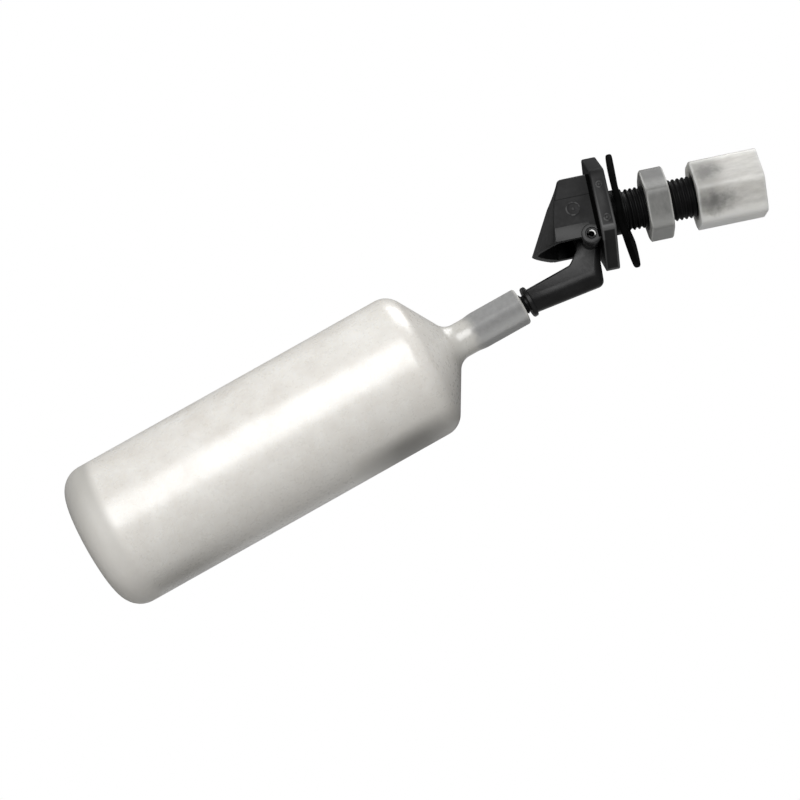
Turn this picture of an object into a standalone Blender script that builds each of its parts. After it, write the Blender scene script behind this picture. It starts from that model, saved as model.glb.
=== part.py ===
"""Small float valve: a splash-hooded body on a bulkhead stem, a lever arm on a steel pin, and a hollow float.

Frame: the origin is the centre of the flange's sealing face, on the stem's axis. +X runs out along the stem
to the tube inlet, +Z is up, and the pivot pin lies along Y. The lever hangs fully open.
"""
import math

import bmesh
import bpy
from mathutils import Vector

MM = 0.001
ROUND_STEPS = 32
SMALL_ROUND_STEPS = 24
CLEARANCE = 0.3 * MM
CUT_OVERRUN = 4.0 * MM
EDGE_CHAMFER = 0.3 * MM
SMOOTH_BELOW = math.radians(35)
QUARTER_TURN = math.radians(90)

# Flange: a hexagon with a corner nearly straight up, set a little above the stem's axis
FLANGE_THICKNESS = 3.9 * MM
FLANGE_ACROSS_FLATS = 27.4 * MM
FLANGE_CORNER_ANGLE = math.radians(87.3)
FLANGE_LIFT = 0.5 * MM
FLANGE_CORNER_ROUNDING = 1.2 * MM
FLANGE_EDGE_BEVEL = 0.4 * MM

# Threaded stem, 7/16-20 UNF
THREAD_DIAMETER = 11.1 * MM
THREAD_DEPTH = 0.7 * MM
THREAD_PITCH = 1.27 * MM
THREAD_START = 4.8 * MM
THREAD_CREST = (0.4, 0.6)
STEM_LENGTH = 32.0 * MM
SHOULDER_DIAMETER = 12.0 * MM
SHOULDER_LENGTH = 4.2 * MM
FEED_BORE_DIAMETER = 5.2 * MM
NOZZLE_HOLE_DIAMETER = 3.6 * MM
NOZZLE_HOLE_DEPTH = 2.9 * MM
TUBE_SOCKET_DIAMETER = 6.7 * MM
TUBE_SOCKET_DEPTH = 6.0 * MM
SEAT_CONE_DIAMETER = 8.2 * MM
SEAT_CONE_DEPTH = 1.5 * MM

# Splash hood
HOOD_TOP = 9.0 * MM
HOOD_RIM = -7.3 * MM
HOOD_BEND = 4.2 * MM
HOOD_BEND_REACH = 0.6 * MM
HOOD_HALF_WIDTH = 11.6 * MM
HOOD_WALL = 1.5 * MM
HOOD_ROOF_FRONT = -12.2 * MM
HOOD_SIDE_FRONT = -16.4 * MM
HOOD_TIP = -22.1 * MM
HOOD_NOSE_BLUNTNESS = 1.4
HOOD_NOSE_STEPS = 12
HOOD_TOP_ROUNDING = 0.8 * MM
HOOD_POCKET_INTO_FLANGE = 0.2 * MM
BAND_HEIGHT = 3.6 * MM
BAND_PROUD = 0.5 * MM
BAND_SETBACK = 0.5 * MM

# Pivot pin and its bosses
PIN_X = -6.5 * MM
PIN_Z = -7.0 * MM
PIN_DIAMETER = 2.5 * MM
PIN_WALL = 0.5 * MM
PIN_SLOT = 0.5 * MM
PIN_RECESS = 0.6 * MM
PIN_RUNNING_GAP = 0.08 * MM
PIN_STEPS = 22
BOSS_DIAMETER = 5.3 * MM
BOSS_PROUD = 1.0 * MM
BOSS_MOUTH_DIAMETER = 3.4 * MM

# Orifice insert
ORIFICE_DIAMETER = 2.0 * MM
ORIFICE_FEED_DIAMETER = 3.4 * MM
NOZZLE_PROUD = 1.3 * MM
NOZZLE_LIP_DIAMETER = 2.9 * MM
INSERT_LENGTH = 8.0 * MM
NOZZLE_LIP_CHAMFER = 0.4 * MM
INSERT_FUNNEL_END = 0.5 * MM
INSERT_FUNNEL_LENGTH = 0.7 * MM

# Lever, laid out from the pin with the valve shut and the float's axis level
OPEN_ANGLE = math.radians(17.9)
HUB_DIAMETER = 4.5 * MM
ARM_WIDTH = 7.0 * MM
SEAL_DIAMETER = 5.0 * MM
SEAL_THICKNESS = 2.0 * MM
SEAL_PROUD = 0.5 * MM
SEAL_SHUT_GAP = 0.15 * MM
CUP_DIAMETER = 7.2 * MM
CUP_DEPTH = 3.2 * MM
CUP_BACK_CHAMFER = 0.6 * MM
ARM_AXIS_DROP = 5.5 * MM
ARM_FRONT = 1.6 * MM
ARM_FRONT_HEIGHTS = (-2.0 * MM, 1.0 * MM)
ARM_CUP_SETBACK = 0.3 * MM
ARM_BACK = [(0.6 * MM, 2.0 * MM), (-4.4 * MM, -0.3 * MM)]
ARM_TOP = [(-7.8 * MM, 2.7 * MM), (-21.5 * MM, 2.7 * MM)]
ARM_UNDERSIDE = [(-21.5 * MM, -3.4 * MM)]
ARM_HEEL = (-3.3 * MM, -4.0 * MM)
ARM_HEEL_RADIUS = 1.8 * MM
ARM_HEEL_ARC = (math.radians(-98), math.radians(-20))
ARM_EDGE_ROUNDING = 1.1 * MM
COLLAR_DISTANCE = 21.5 * MM
COLLAR_DIAMETER = 8.5 * MM
COLLAR_THICKNESS = 1.3 * MM
STUD_DIAMETER = 6.0 * MM
STUD_LENGTH = 15.0 * MM
STUD_GROOVE = 0.4 * MM
STUD_STEPS = 20

# Float, measured along its axis from the collar's centre
NECK_START = 2.2 * MM
NECK_ACROSS_FLATS = 9.5 * MM
NECK_LENGTH = 20.9 * MM
NECK_BORE_DIAMETER = 6.6 * MM
SHOULDER_RUN = 8.9 * MM
FLOAT_DIAMETER = 40.0 * MM
FLOAT_LENGTH = 128.4 * MM
FLOAT_END_RADIUS = 6.5 * MM
FLOAT_WALL = 1.2 * MM
FLOAT_SHOULDER_RADIUS = 6.0 * MM
FLOAT_END_CENTRE = 2.0 * MM
FLOAT_ROOT_IN_NECK = 4.0 * MM
NECK_WALL_OVERLAP = 0.2 * MM
FLOAT_STEPS = 36
NECK_EMBEDDED = 0.5 * MM
NECK_CORNER_ANGLE = math.radians(8)

# Loose pieces along the stem
WASHER_X = 3.6 * MM
WASHER_THICKNESS = 1.6 * MM
WASHER_DIAMETER = 30.8 * MM
WASHER_HOLE = 12.8 * MM
WASHER_TILT = math.radians(-2.4)
WASHER_TURN = math.radians(-6.2)
WASHER_STEPS = 40
BULKHEAD_NUT_X = 9.7 * MM
BULKHEAD_NUT_HEIGHT = 6.2 * MM
BULKHEAD_NUT_ACROSS_FLATS = 17.3 * MM
BULKHEAD_NUT_CORNER = math.radians(50.5)
BULKHEAD_NUT_CHAMFER = 1.0 * MM
NUT_BORE_DIAMETER = 11.7 * MM
NUT_MOUTH_CHAMFER = 0.6 * MM
NUT_TURNING_ANGLE = math.radians(30)
COMPRESSION_NUT_X = 22.8 * MM
COMPRESSION_NUT_LENGTH = 17.8 * MM
COMPRESSION_NUT_ACROSS_FLATS = 17.2 * MM
COMPRESSION_NUT_CORNER = math.radians(2.0)
COMPRESSION_NUT_CHAMFER = 0.4 * MM
COMPRESSION_CAVITY_DIAMETER = 9.4 * MM
COMPRESSION_CAVITY = (33.6 * MM, 37.4 * MM)
COMPRESSION_CAVITY_TAPER = 1.0 * MM
COMPRESSION_CONE_END = 39.0 * MM
SLEEVE_X = 32.4 * MM
SLEEVE_LENGTH = 4.6 * MM
SLEEVE_DIAMETER = 8.7 * MM
SLEEVE_NOSE_DIAMETER = 7.5 * MM
SLEEVE_TAPER = 1.4 * MM
TUBE_INSERT_X = 26.3 * MM
TUBE_INSERT_LENGTH = 8.0 * MM
TUBE_INSERT_COLLAR = 0.9 * MM
TUBE_INSERT_COLLAR_DIAMETER = 6.2 * MM
TUBE_INSERT_DIAMETER = 4.2 * MM
TUBE_INSERT_BORE = 3.0 * MM
TUBE_INSERT_TIP = 0.5 * MM


def clear_scene():
    for obj in list(bpy.data.objects):
        bpy.data.objects.remove(obj, do_unlink=True)


def material(name, colour, roughness, metallic=0.0):
    finish = bpy.data.materials.new(name)
    finish.use_nodes = True
    shader = finish.node_tree.nodes["Principled BSDF"]
    shader.inputs["Base Color"].default_value = (*colour, 1.0)
    shader.inputs["Roughness"].default_value = roughness
    shader.inputs["Metallic"].default_value = metallic
    return finish


def add_object(name, bm, finish=None, parent=None):
    """Turn a bmesh into an object, shaded smooth with crisp edges."""
    bmesh.ops.recalc_face_normals(bm, faces=bm.faces)
    mesh = bpy.data.meshes.new(name)
    bm.to_mesh(mesh)
    bm.free()
    mesh.shade_smooth()
    mesh.set_sharp_from_angle(angle=SMOOTH_BELOW)
    if finish:
        mesh.materials.append(finish)
    obj = bpy.data.objects.new(name, mesh)
    bpy.context.collection.objects.link(obj)
    obj.parent = parent
    return obj


def guide(name, bm, parent=None):
    """An object that only shapes another one."""
    obj = add_object(name, bm, parent=parent)
    obj.hide_render = True
    obj.display_type = "WIRE"
    return obj


def combine(obj, other, operation):
    step = obj.modifiers.new(other.name, "BOOLEAN")
    step.operation = operation
    step.object = other
    step.solver = "EXACT"


def circle(radius, steps, phase=0.0):
    turns = [phase + 2 * math.pi * k / steps for k in range(steps)]
    return [(radius * math.cos(a), radius * math.sin(a)) for a in turns]


def hexagon(across_flats, corner_angle=0.0):
    return circle(across_flats / math.sqrt(3), 6, corner_angle)


def arc(centre, radius, start, end, steps):
    """Points round an arc in a plane, from one angle to the other."""
    angles = [start + (end - start) * k / steps for k in range(steps + 1)]
    return [(centre[0] + radius * math.cos(a), centre[1] + radius * math.sin(a)) for a in angles]


def loft(sections):
    """A closed solid through rings of points that all have the same count."""
    bm = bmesh.new()
    rings = [[bm.verts.new(point) for point in section] for section in sections]
    count = len(rings[0])
    for lower, upper in zip(rings, rings[1:]):
        for k in range(count):
            after = (k + 1) % count
            bm.faces.new((lower[k], lower[after], upper[after], upper[k]))
    bm.faces.new(rings[0][::-1])
    bm.faces.new(rings[-1])
    return bm


def prism_x(outline, low, high):
    """Extrude a (y, z) outline along X."""
    return loft([[(x, y, z) for y, z in outline] for x in (low, high)])


def prism_y(outline, low, high):
    """Extrude an (x, z) outline along Y."""
    return loft([[(x, y, z) for x, z in outline] for y in (low, high)])


def turned(profile, steps=ROUND_STEPS):
    """Turn a closed (x, radius) profile about the X axis. It must stay clear of the axis."""
    bm = bmesh.new()
    rings = [[bm.verts.new((x, y, z)) for y, z in circle(r, steps)] for x, r in profile]
    for near, far in zip(rings, rings[1:] + rings[:1]):
        for k in range(steps):
            after = (k + 1) % steps
            bm.faces.new((near[k], near[after], far[after], far[k]))
    return bm


def spindle(profile, steps=ROUND_STEPS):
    """Turn an open (x, radius) profile about the X axis and close both of its ends with discs."""
    return loft([[(x, y, z) for y, z in circle(r, steps)] for x, r in profile])


def drum_y(radius, low, high, x=0.0, z=0.0, steps=SMALL_ROUND_STEPS):
    """A round bar along Y."""
    return prism_y([(x + u, z + v) for u, v in circle(radius, steps)], low, high)


def thread_profile(start, end, diameter):
    """The zigzag of a thread's crests and roots, as (x, radius) points."""
    crest = diameter / 2
    root = crest - THREAD_DEPTH
    points = []
    for turn in range(int((end - start) / THREAD_PITCH)):
        x = start + turn * THREAD_PITCH
        points.append((x, root))
        points += [(x + share * THREAD_PITCH, crest) for share in THREAD_CREST]
    points.append((start + (turn + 1) * THREAD_PITCH, root))
    return points


def rounded_polygon(corners, radius, steps=3):
    """Replace each corner of a convex outline, listed anticlockwise, by an arc."""
    points = []
    count = len(corners)
    for k, corner in enumerate(corners):
        here = Vector(corner)
        back = (Vector(corners[k - 1]) - here).normalized()
        ahead = (Vector(corners[(k + 1) % count]) - here).normalized()
        half = back.angle(ahead) / 2
        centre = here + (back + ahead).normalized() * (radius / math.sin(half))
        start = here + back * (radius / math.tan(half)) - centre
        sweep = math.pi - 2 * half
        turn = math.atan2(start.y, start.x)
        points += arc(centre, radius, turn, turn + sweep, steps)
    return points


def hexagon_nut(name, finish, low, high, across_flats, bore_profile, corner_angle, corner_chamfer):
    """A hexagon nut whose corners are turned off at both ends, with a turned bore."""
    nut = add_object(name, prism_x(hexagon(across_flats, corner_angle), low, high), finish)
    corner = across_flats / math.sqrt(3)
    end_radius = corner - corner_chamfer
    outer = corner + MM
    rise = (outer - end_radius) * math.tan(NUT_TURNING_ANGLE)
    blank = spindle([(low, end_radius), (low + rise, outer), (high - rise, outer), (high, end_radius)])
    combine(nut, guide(name + "_turning", blank), "INTERSECT")
    combine(nut, guide(name + "_bore", spindle(bore_profile)), "DIFFERENCE")
    return nut


def hood_outline(z, inset, back):
    """The hood's plan at one height, drawn in by its wall or rounding."""
    down = (HOOD_TOP - z) / (HOOD_TOP - HOOD_RIM)
    to_bend = min((HOOD_TOP - z) / (HOOD_TOP - HOOD_BEND), (z - HOOD_RIM) / (HOOD_BEND - HOOD_RIM))
    roof_front = HOOD_ROOF_FRONT - HOOD_BEND_REACH * to_bend
    side_front = roof_front + down * (HOOD_SIDE_FRONT - HOOD_ROOF_FRONT) + inset
    tip = roof_front + down * (HOOD_TIP - HOOD_ROOF_FRONT) + inset
    half = HOOD_HALF_WIDTH - inset
    outline = [(back, half)]
    for step in range(HOOD_NOSE_STEPS + 1):
        across = 1 - 2 * step / HOOD_NOSE_STEPS
        reach = tip + (side_front - tip) * abs(across) ** HOOD_NOSE_BLUNTNESS
        outline.append((reach, half * across))
    outline.append((back, -half))
    return [(x, y, z) for x, y in outline]


def flange_outline(x, inset):
    corners = hexagon(FLANGE_ACROSS_FLATS - 2 * inset, FLANGE_CORNER_ANGLE)
    return [(x, y, z + FLANGE_LIFT) for y, z in rounded_polygon(corners, FLANGE_CORNER_ROUNDING)]


def make_valve_body(finish):
    face = -FLANGE_THICKNESS
    inside_flange = face / 2
    levels = [(HOOD_RIM, 0.0), (HOOD_BEND, 0.0), (HOOD_TOP - HOOD_TOP_ROUNDING, 0.0),
              (HOOD_TOP, HOOD_TOP_ROUNDING)]
    body = add_object("valve_body", loft([hood_outline(z, inset, inside_flange) for z, inset in levels]), finish)

    bevel = FLANGE_EDGE_BEVEL
    flange_levels = [(face, bevel), (face + bevel, 0.0), (-bevel, 0.0), (0.0, bevel)]
    flange = loft([flange_outline(x, inset) for x, inset in flange_levels])
    combine(body, guide("flange", flange), "UNION")

    shoulder = SHOULDER_DIAMETER / 2
    stem = [(inside_flange, shoulder), (SHOULDER_LENGTH, shoulder)]
    stem += thread_profile(THREAD_START, STEM_LENGTH, THREAD_DIAMETER)
    stem.append((STEM_LENGTH, THREAD_DIAMETER / 2 - THREAD_DEPTH))
    combine(body, guide("stem", spindle(stem, SMALL_ROUND_STEPS)), "UNION")

    boss_end = HOOD_HALF_WIDTH + BOSS_PROUD
    boss_root = HOOD_HALF_WIDTH - HOOD_WALL
    for side, label in ((-1, "near"), (1, "far")):
        low, high = sorted((side * boss_root, side * (HOOD_HALF_WIDTH + BAND_PROUD)))
        band_front = HOOD_SIDE_FRONT + BAND_SETBACK
        band = [(band_front, HOOD_RIM), (PIN_X, HOOD_RIM), (PIN_X, HOOD_RIM + BAND_HEIGHT),
                (band_front, HOOD_RIM + BAND_HEIGHT)]
        combine(body, guide("band_" + label, prism_y(band, low, high)), "UNION")
        low, high = sorted((side * boss_root, side * boss_end))
        boss = drum_y(BOSS_DIAMETER / 2, low, high, PIN_X, PIN_Z)
        combine(body, guide("boss_" + label, boss), "UNION")

    pocket_back = face + HOOD_POCKET_INTO_FLANGE
    pocket_levels = (-FLANGE_ACROSS_FLATS, HOOD_BEND, HOOD_TOP - HOOD_WALL)
    pocket = loft([hood_outline(z, HOOD_WALL, pocket_back) for z in pocket_levels])
    combine(body, guide("hood_cavity", pocket), "DIFFERENCE")

    nozzle_end = face + NOZZLE_HOLE_DEPTH
    socket_start = STEM_LENGTH - TUBE_SOCKET_DEPTH
    bore = spindle([
        (face - CUT_OVERRUN, NOZZLE_HOLE_DIAMETER / 2), (nozzle_end, NOZZLE_HOLE_DIAMETER / 2),
        (nozzle_end, FEED_BORE_DIAMETER / 2), (socket_start, FEED_BORE_DIAMETER / 2),
        (socket_start, TUBE_SOCKET_DIAMETER / 2), (STEM_LENGTH - SEAT_CONE_DEPTH, TUBE_SOCKET_DIAMETER / 2),
        (STEM_LENGTH, SEAT_CONE_DIAMETER / 2), (STEM_LENGTH + CUT_OVERRUN, SEAT_CONE_DIAMETER / 2)])
    combine(body, guide("stem_bore", bore), "DIFFERENCE")

    pin_radius = PIN_DIAMETER / 2 + PIN_RUNNING_GAP
    pin_hole = drum_y(pin_radius, -boss_end - CUT_OVERRUN, boss_end + CUT_OVERRUN, PIN_X, PIN_Z)
    combine(body, guide("pin_hole", pin_hole), "DIFFERENCE")
    for side, label in ((-1, "near"), (1, "far")):
        low, high = sorted((side * (boss_end - PIN_RECESS), side * (boss_end + CUT_OVERRUN)))
        mouth = drum_y(BOSS_MOUTH_DIAMETER / 2, low, high, PIN_X, PIN_Z)
        combine(body, guide("boss_mouth_" + label, mouth), "DIFFERENCE")
    return body


def make_orifice_insert(finish):
    lip = -FLANGE_THICKNESS - NOZZLE_PROUD
    shoulder = -FLANGE_THICKNESS + NOZZLE_HOLE_DEPTH + CLEARANCE
    end = lip + INSERT_LENGTH
    nose = NOZZLE_HOLE_DIAMETER / 2 - CLEARANCE / 2
    barrel = FEED_BORE_DIAMETER / 2 - CLEARANCE / 2
    feed_start = shoulder + INSERT_FUNNEL_END
    profile = [(lip, ORIFICE_DIAMETER / 2), (lip, NOZZLE_LIP_DIAMETER / 2), (lip + NOZZLE_LIP_CHAMFER, nose),
               (shoulder, nose), (shoulder, barrel), (end, barrel), (end, ORIFICE_FEED_DIAMETER / 2),
               (feed_start, ORIFICE_FEED_DIAMETER / 2),
               (feed_start - INSERT_FUNNEL_LENGTH, ORIFICE_DIAMETER / 2)]
    return add_object("orifice_insert", turned(profile, SMALL_ROUND_STEPS), finish)


def make_pivot_pin(finish):
    """A rolled pin: a steel tube with a slot along the side that faces the nose."""
    outer = PIN_DIAMETER / 2
    inner = outer - PIN_WALL
    half_gap = math.asin(PIN_SLOT / 2 / outer)
    start = math.pi + half_gap
    end = 3 * math.pi - half_gap
    outline = arc((0, 0), outer, start, end, PIN_STEPS) + arc((0, 0), inner, end, start, PIN_STEPS)
    reach = HOOD_HALF_WIDTH + BOSS_PROUD - PIN_RECESS
    pin = add_object("pivot_pin", prism_y(outline, -reach, reach), finish)
    pin.location = (PIN_X, 0.0, PIN_Z)
    return pin


def make_lever_arm(finish, pivot):
    """The arm in the pivot's frame, with the valve shut."""
    stem_height = -PIN_Z
    lip = -FLANGE_THICKNESS - NOZZLE_PROUD - PIN_X
    seal_face = lip - SEAL_SHUT_GAP
    cup_mouth = seal_face - SEAL_PROUD
    cup_back = cup_mouth - CUP_DEPTH
    axis = -ARM_AXIS_DROP
    side = [(ARM_FRONT, height) for height in ARM_FRONT_HEIGHTS]
    side += [(cup_mouth - ARM_CUP_SETBACK, stem_height), (cup_back, stem_height)]
    side += [(cup_back - ARM_BACK[0][0], ARM_BACK[0][1]), ARM_BACK[1]]
    side += [(x, axis + z) for x, z in ARM_TOP + ARM_UNDERSIDE]
    side += arc((ARM_HEEL[0], axis + ARM_HEEL[1]), ARM_HEEL_RADIUS, *ARM_HEEL_ARC, 3)
    bar = prism_y(side, -ARM_WIDTH / 2, ARM_WIDTH / 2)
    long_edges = [edge for edge in bar.edges if abs(edge.verts[0].co.y - edge.verts[1].co.y) < MM / 10]
    bmesh.ops.bevel(bar, geom=long_edges, offset=ARM_EDGE_ROUNDING, segments=2, affect="EDGES", profile=0.5)
    arm = add_object("lever_arm", bar, finish, pivot)

    reach = HOOD_HALF_WIDTH - HOOD_WALL - 2 * CLEARANCE
    combine(arm, guide("lever_hub", drum_y(HUB_DIAMETER / 2, -reach, reach), pivot), "UNION")
    cup = spindle([(cup_back, CUP_DIAMETER / 2 - CUP_BACK_CHAMFER),
                   (cup_back + CUP_BACK_CHAMFER, CUP_DIAMETER / 2),
                   (cup_mouth, CUP_DIAMETER / 2)], SMALL_ROUND_STEPS)
    cup_guide = guide("seal_cup", cup, pivot)
    cup_guide.location.z = stem_height
    combine(arm, cup_guide, "UNION")

    collar_half = COLLAR_THICKNESS / 2
    stud_root = STUD_DIAMETER / 2 - THREAD_DEPTH
    collar_edge = COLLAR_DIAMETER / 2 - EDGE_CHAMFER
    collar = [(collar_half, collar_edge), (0.0, COLLAR_DIAMETER / 2), (-collar_half, collar_edge),
              (-collar_half, stud_root)]
    thread = thread_profile(0.0, STUD_LENGTH, STUD_DIAMETER)
    collar += [(-collar_half - STUD_GROOVE - x, r) for x, r in thread]
    stud = guide("collar_and_stud", spindle(collar, STUD_STEPS), pivot)
    stud.location = (-COLLAR_DISTANCE, 0.0, axis)
    combine(arm, stud, "UNION")

    pin_hole = drum_y(PIN_DIAMETER / 2 + PIN_RUNNING_GAP, -reach - CUT_OVERRUN, reach + CUT_OVERRUN)
    combine(arm, guide("lever_pin_hole", pin_hole, pivot), "DIFFERENCE")
    pocket_depth = SEAL_THICKNESS - SEAL_PROUD + CLEARANCE
    pocket = spindle([(cup_mouth - pocket_depth, SEAL_DIAMETER / 2 + CLEARANCE),
                      (cup_mouth + CUT_OVERRUN, SEAL_DIAMETER / 2 + CLEARANCE)], SMALL_ROUND_STEPS)
    pocket_guide = guide("seal_pocket", pocket, pivot)
    pocket_guide.location.z = stem_height
    combine(arm, pocket_guide, "DIFFERENCE")
    return arm, seal_face


def make_seal_disc(finish, pivot, seal_face):
    back = seal_face - SEAL_THICKNESS
    edge = EDGE_CHAMFER
    radius = SEAL_DIAMETER / 2
    profile = [(back, radius - edge), (back + edge, radius), (seal_face - edge, radius),
               (seal_face, radius - edge)]
    disc = add_object("seal_disc", spindle(profile, SMALL_ROUND_STEPS), finish, pivot)
    disc.location.z = -PIN_Z
    return disc


def float_profile(inset, neck_radius):
    """The float's outline as (distance, radius), from its neck to the middle of its flat end."""
    radius = FLOAT_DIAMETER / 2 - inset
    far = FLOAT_LENGTH - inset
    neck = NECK_ACROSS_FLATS / 2
    slope = math.atan2(FLOAT_DIAMETER / 2 - neck, SHOULDER_RUN)
    cone_start = NECK_LENGTH + (neck_radius - neck) / math.tan(slope) + inset / math.sin(slope)
    bend_x = NECK_LENGTH + SHOULDER_RUN + FLOAT_SHOULDER_RADIUS * math.tan(slope / 2)
    bend_centre = (bend_x, FLOAT_DIAMETER / 2 - FLOAT_SHOULDER_RADIUS)
    shoulder = arc(bend_centre, FLOAT_SHOULDER_RADIUS - inset, QUARTER_TURN + slope, QUARTER_TURN, 4)
    corner = FLOAT_END_RADIUS - inset
    end = arc((far - corner, radius - corner), corner, QUARTER_TURN, 0.0, 6)
    return [(cone_start, neck_radius)] + shoulder + end + [(far, FLOAT_END_CENTRE)]


def make_float_shell(finish, pivot):
    """The float along +X from its neck's open end, turned to point away from the collar."""
    inner_neck = NECK_ACROSS_FLATS / 2 - NECK_WALL_OVERLAP
    profile = [(NECK_LENGTH - FLOAT_ROOT_IN_NECK, inner_neck)] + float_profile(0.0, inner_neck)
    shell = add_object("float_shell", spindle(profile, FLOAT_STEPS), finish, pivot)
    shell.location = (-COLLAR_DISTANCE - NECK_START, 0.0, -ARM_AXIS_DROP)
    shell.rotation_euler = (0.0, math.pi, 0.0)

    hex_neck = prism_x(hexagon(NECK_ACROSS_FLATS, NECK_CORNER_ANGLE), 0.0, NECK_LENGTH + NECK_EMBEDDED)
    neck_guide = guide("float_neck", hex_neck, pivot)
    bore = NECK_BORE_DIAMETER / 2
    hollow = [(-CUT_OVERRUN, bore)] + float_profile(FLOAT_WALL, bore)
    hollow_guide = guide("float_hollow", spindle(hollow, FLOAT_STEPS), pivot)
    for tool in (neck_guide, hollow_guide):
        tool.location = shell.location
        tool.rotation_euler = shell.rotation_euler
    combine(shell, neck_guide, "UNION")
    combine(shell, hollow_guide, "DIFFERENCE")
    return shell


def make_washer(finish):
    """The washer hangs loose on the shoulder, so it leans a few degrees."""
    edge = EDGE_CHAMFER
    half = WASHER_THICKNESS / 2
    outer = WASHER_DIAMETER / 2
    inner = WASHER_HOLE / 2
    profile = [(-half, inner), (-half, outer - edge), (edge - half, outer), (half - edge, outer),
               (half, outer - edge), (half, inner)]
    washer = add_object("mounting_washer", turned(profile, WASHER_STEPS), finish)
    washer.location.x = WASHER_X
    washer.rotation_euler = (0.0, WASHER_TILT, WASHER_TURN)
    return washer


def make_bulkhead_nut(finish):
    low = BULKHEAD_NUT_X
    high = low + BULKHEAD_NUT_HEIGHT
    bore = NUT_BORE_DIAMETER / 2
    chamfer = NUT_MOUTH_CHAMFER
    mouth = bore + chamfer + MM
    profile = [(low - MM, mouth), (low + chamfer, bore), (high - chamfer, bore), (high + MM, mouth)]
    return hexagon_nut("bulkhead_nut", finish, low, high, BULKHEAD_NUT_ACROSS_FLATS, profile,
                       BULKHEAD_NUT_CORNER, BULKHEAD_NUT_CHAMFER)


def make_compression_nut(finish):
    low = COMPRESSION_NUT_X
    high = low + COMPRESSION_NUT_LENGTH
    cavity_start, cavity_end = COMPRESSION_CAVITY
    bore = NUT_BORE_DIAMETER / 2
    cavity = COMPRESSION_CAVITY_DIAMETER / 2
    tube = TUBE_SOCKET_DIAMETER / 2
    profile = [(low - MM, bore), (cavity_start - COMPRESSION_CAVITY_TAPER, bore), (cavity_start, cavity),
               (cavity_end, cavity), (COMPRESSION_CONE_END, tube), (high + MM, tube)]
    return hexagon_nut("compression_nut", finish, low, high, COMPRESSION_NUT_ACROSS_FLATS, profile,
                       COMPRESSION_NUT_CORNER, COMPRESSION_NUT_CHAMFER)


def make_compression_sleeve(finish):
    low = SLEEVE_X
    high = low + SLEEVE_LENGTH
    bore = TUBE_SOCKET_DIAMETER / 2
    nose = SLEEVE_NOSE_DIAMETER / 2
    outer = SLEEVE_DIAMETER / 2
    profile = [(low, bore), (low, nose), (low + SLEEVE_TAPER, outer), (high - SLEEVE_TAPER, outer),
               (high, nose), (high, bore)]
    return add_object("compression_sleeve", turned(profile, SMALL_ROUND_STEPS), finish)


def make_tube_insert(finish):
    low = TUBE_INSERT_X
    high = low + TUBE_INSERT_LENGTH
    collar_end = low + TUBE_INSERT_COLLAR
    bore = TUBE_INSERT_BORE / 2
    barrel = TUBE_INSERT_DIAMETER / 2
    collar = TUBE_INSERT_COLLAR_DIAMETER / 2
    tip = TUBE_INSERT_TIP
    profile = [(low, bore), (low, collar), (collar_end, collar), (collar_end, barrel), (high - tip, barrel),
               (high, barrel - tip / 2), (high, bore)]
    return add_object("tube_insert", turned(profile, SMALL_ROUND_STEPS), finish)


def main():
    clear_scene()
    black = material("black_plastic", (0.018, 0.018, 0.019), 0.42)
    rubber = material("black_rubber", (0.010, 0.010, 0.010), 0.75)
    seal_rubber = material("seal_rubber", (0.030, 0.030, 0.032), 0.65)
    steel = material("pin_steel", (0.62, 0.62, 0.60), 0.22, 1.0)
    grey = material("grey_nylon", (0.27, 0.27, 0.26), 0.5)
    natural = material("natural_polypropylene", (0.60, 0.60, 0.58), 0.35)
    acetal = material("white_acetal", (0.80, 0.79, 0.75), 0.4)
    liner = material("liner_acetal", (0.78, 0.78, 0.76), 0.4)
    nozzle = material("nozzle_acetal", (0.74, 0.72, 0.66), 0.35)
    float_white = material("float_polyethylene", (0.80, 0.79, 0.75), 0.42)

    make_valve_body(black)
    make_orifice_insert(nozzle)
    make_pivot_pin(steel)

    pivot = bpy.data.objects.new("lever_pivot", None)
    bpy.context.collection.objects.link(pivot)
    pivot.location = (PIN_X, 0.0, PIN_Z)
    pivot.rotation_euler = (0.0, -OPEN_ANGLE, 0.0)
    arm_finish = black.copy()
    arm_finish.name = "arm_plastic"
    arm, seal_face = make_lever_arm(arm_finish, pivot)
    make_seal_disc(seal_rubber, pivot, seal_face)
    make_float_shell(float_white, pivot)

    make_washer(rubber)
    make_bulkhead_nut(grey)
    make_compression_nut(natural)
    make_compression_sleeve(acetal)
    make_tube_insert(liner)


main()
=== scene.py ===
"""Looks of the float valve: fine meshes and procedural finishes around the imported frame.

All geometry is in the frame's metres: the stem runs along +X from the flange's sealing face, and +Z is up.
The lever's pieces are modelled with the valve shut, from the pivot, and turned open with OPEN_ANGLE.
"""

import math

import bmesh
import bpy
from mathutils import Matrix, Vector


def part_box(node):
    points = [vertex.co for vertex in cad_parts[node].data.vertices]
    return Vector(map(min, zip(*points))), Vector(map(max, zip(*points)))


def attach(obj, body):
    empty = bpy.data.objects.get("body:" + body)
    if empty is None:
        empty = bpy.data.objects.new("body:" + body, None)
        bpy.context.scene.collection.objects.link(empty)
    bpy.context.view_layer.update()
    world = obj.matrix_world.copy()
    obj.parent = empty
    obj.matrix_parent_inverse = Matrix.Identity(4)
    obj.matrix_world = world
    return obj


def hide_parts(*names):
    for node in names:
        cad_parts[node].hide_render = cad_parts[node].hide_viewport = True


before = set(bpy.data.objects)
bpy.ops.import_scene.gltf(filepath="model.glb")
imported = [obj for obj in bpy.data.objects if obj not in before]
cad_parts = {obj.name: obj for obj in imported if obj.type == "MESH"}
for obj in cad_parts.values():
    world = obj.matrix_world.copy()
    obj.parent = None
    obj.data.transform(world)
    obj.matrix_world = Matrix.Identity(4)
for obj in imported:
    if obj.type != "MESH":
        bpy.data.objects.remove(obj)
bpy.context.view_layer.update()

MM = 0.001
QUARTER = math.pi / 2
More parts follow.
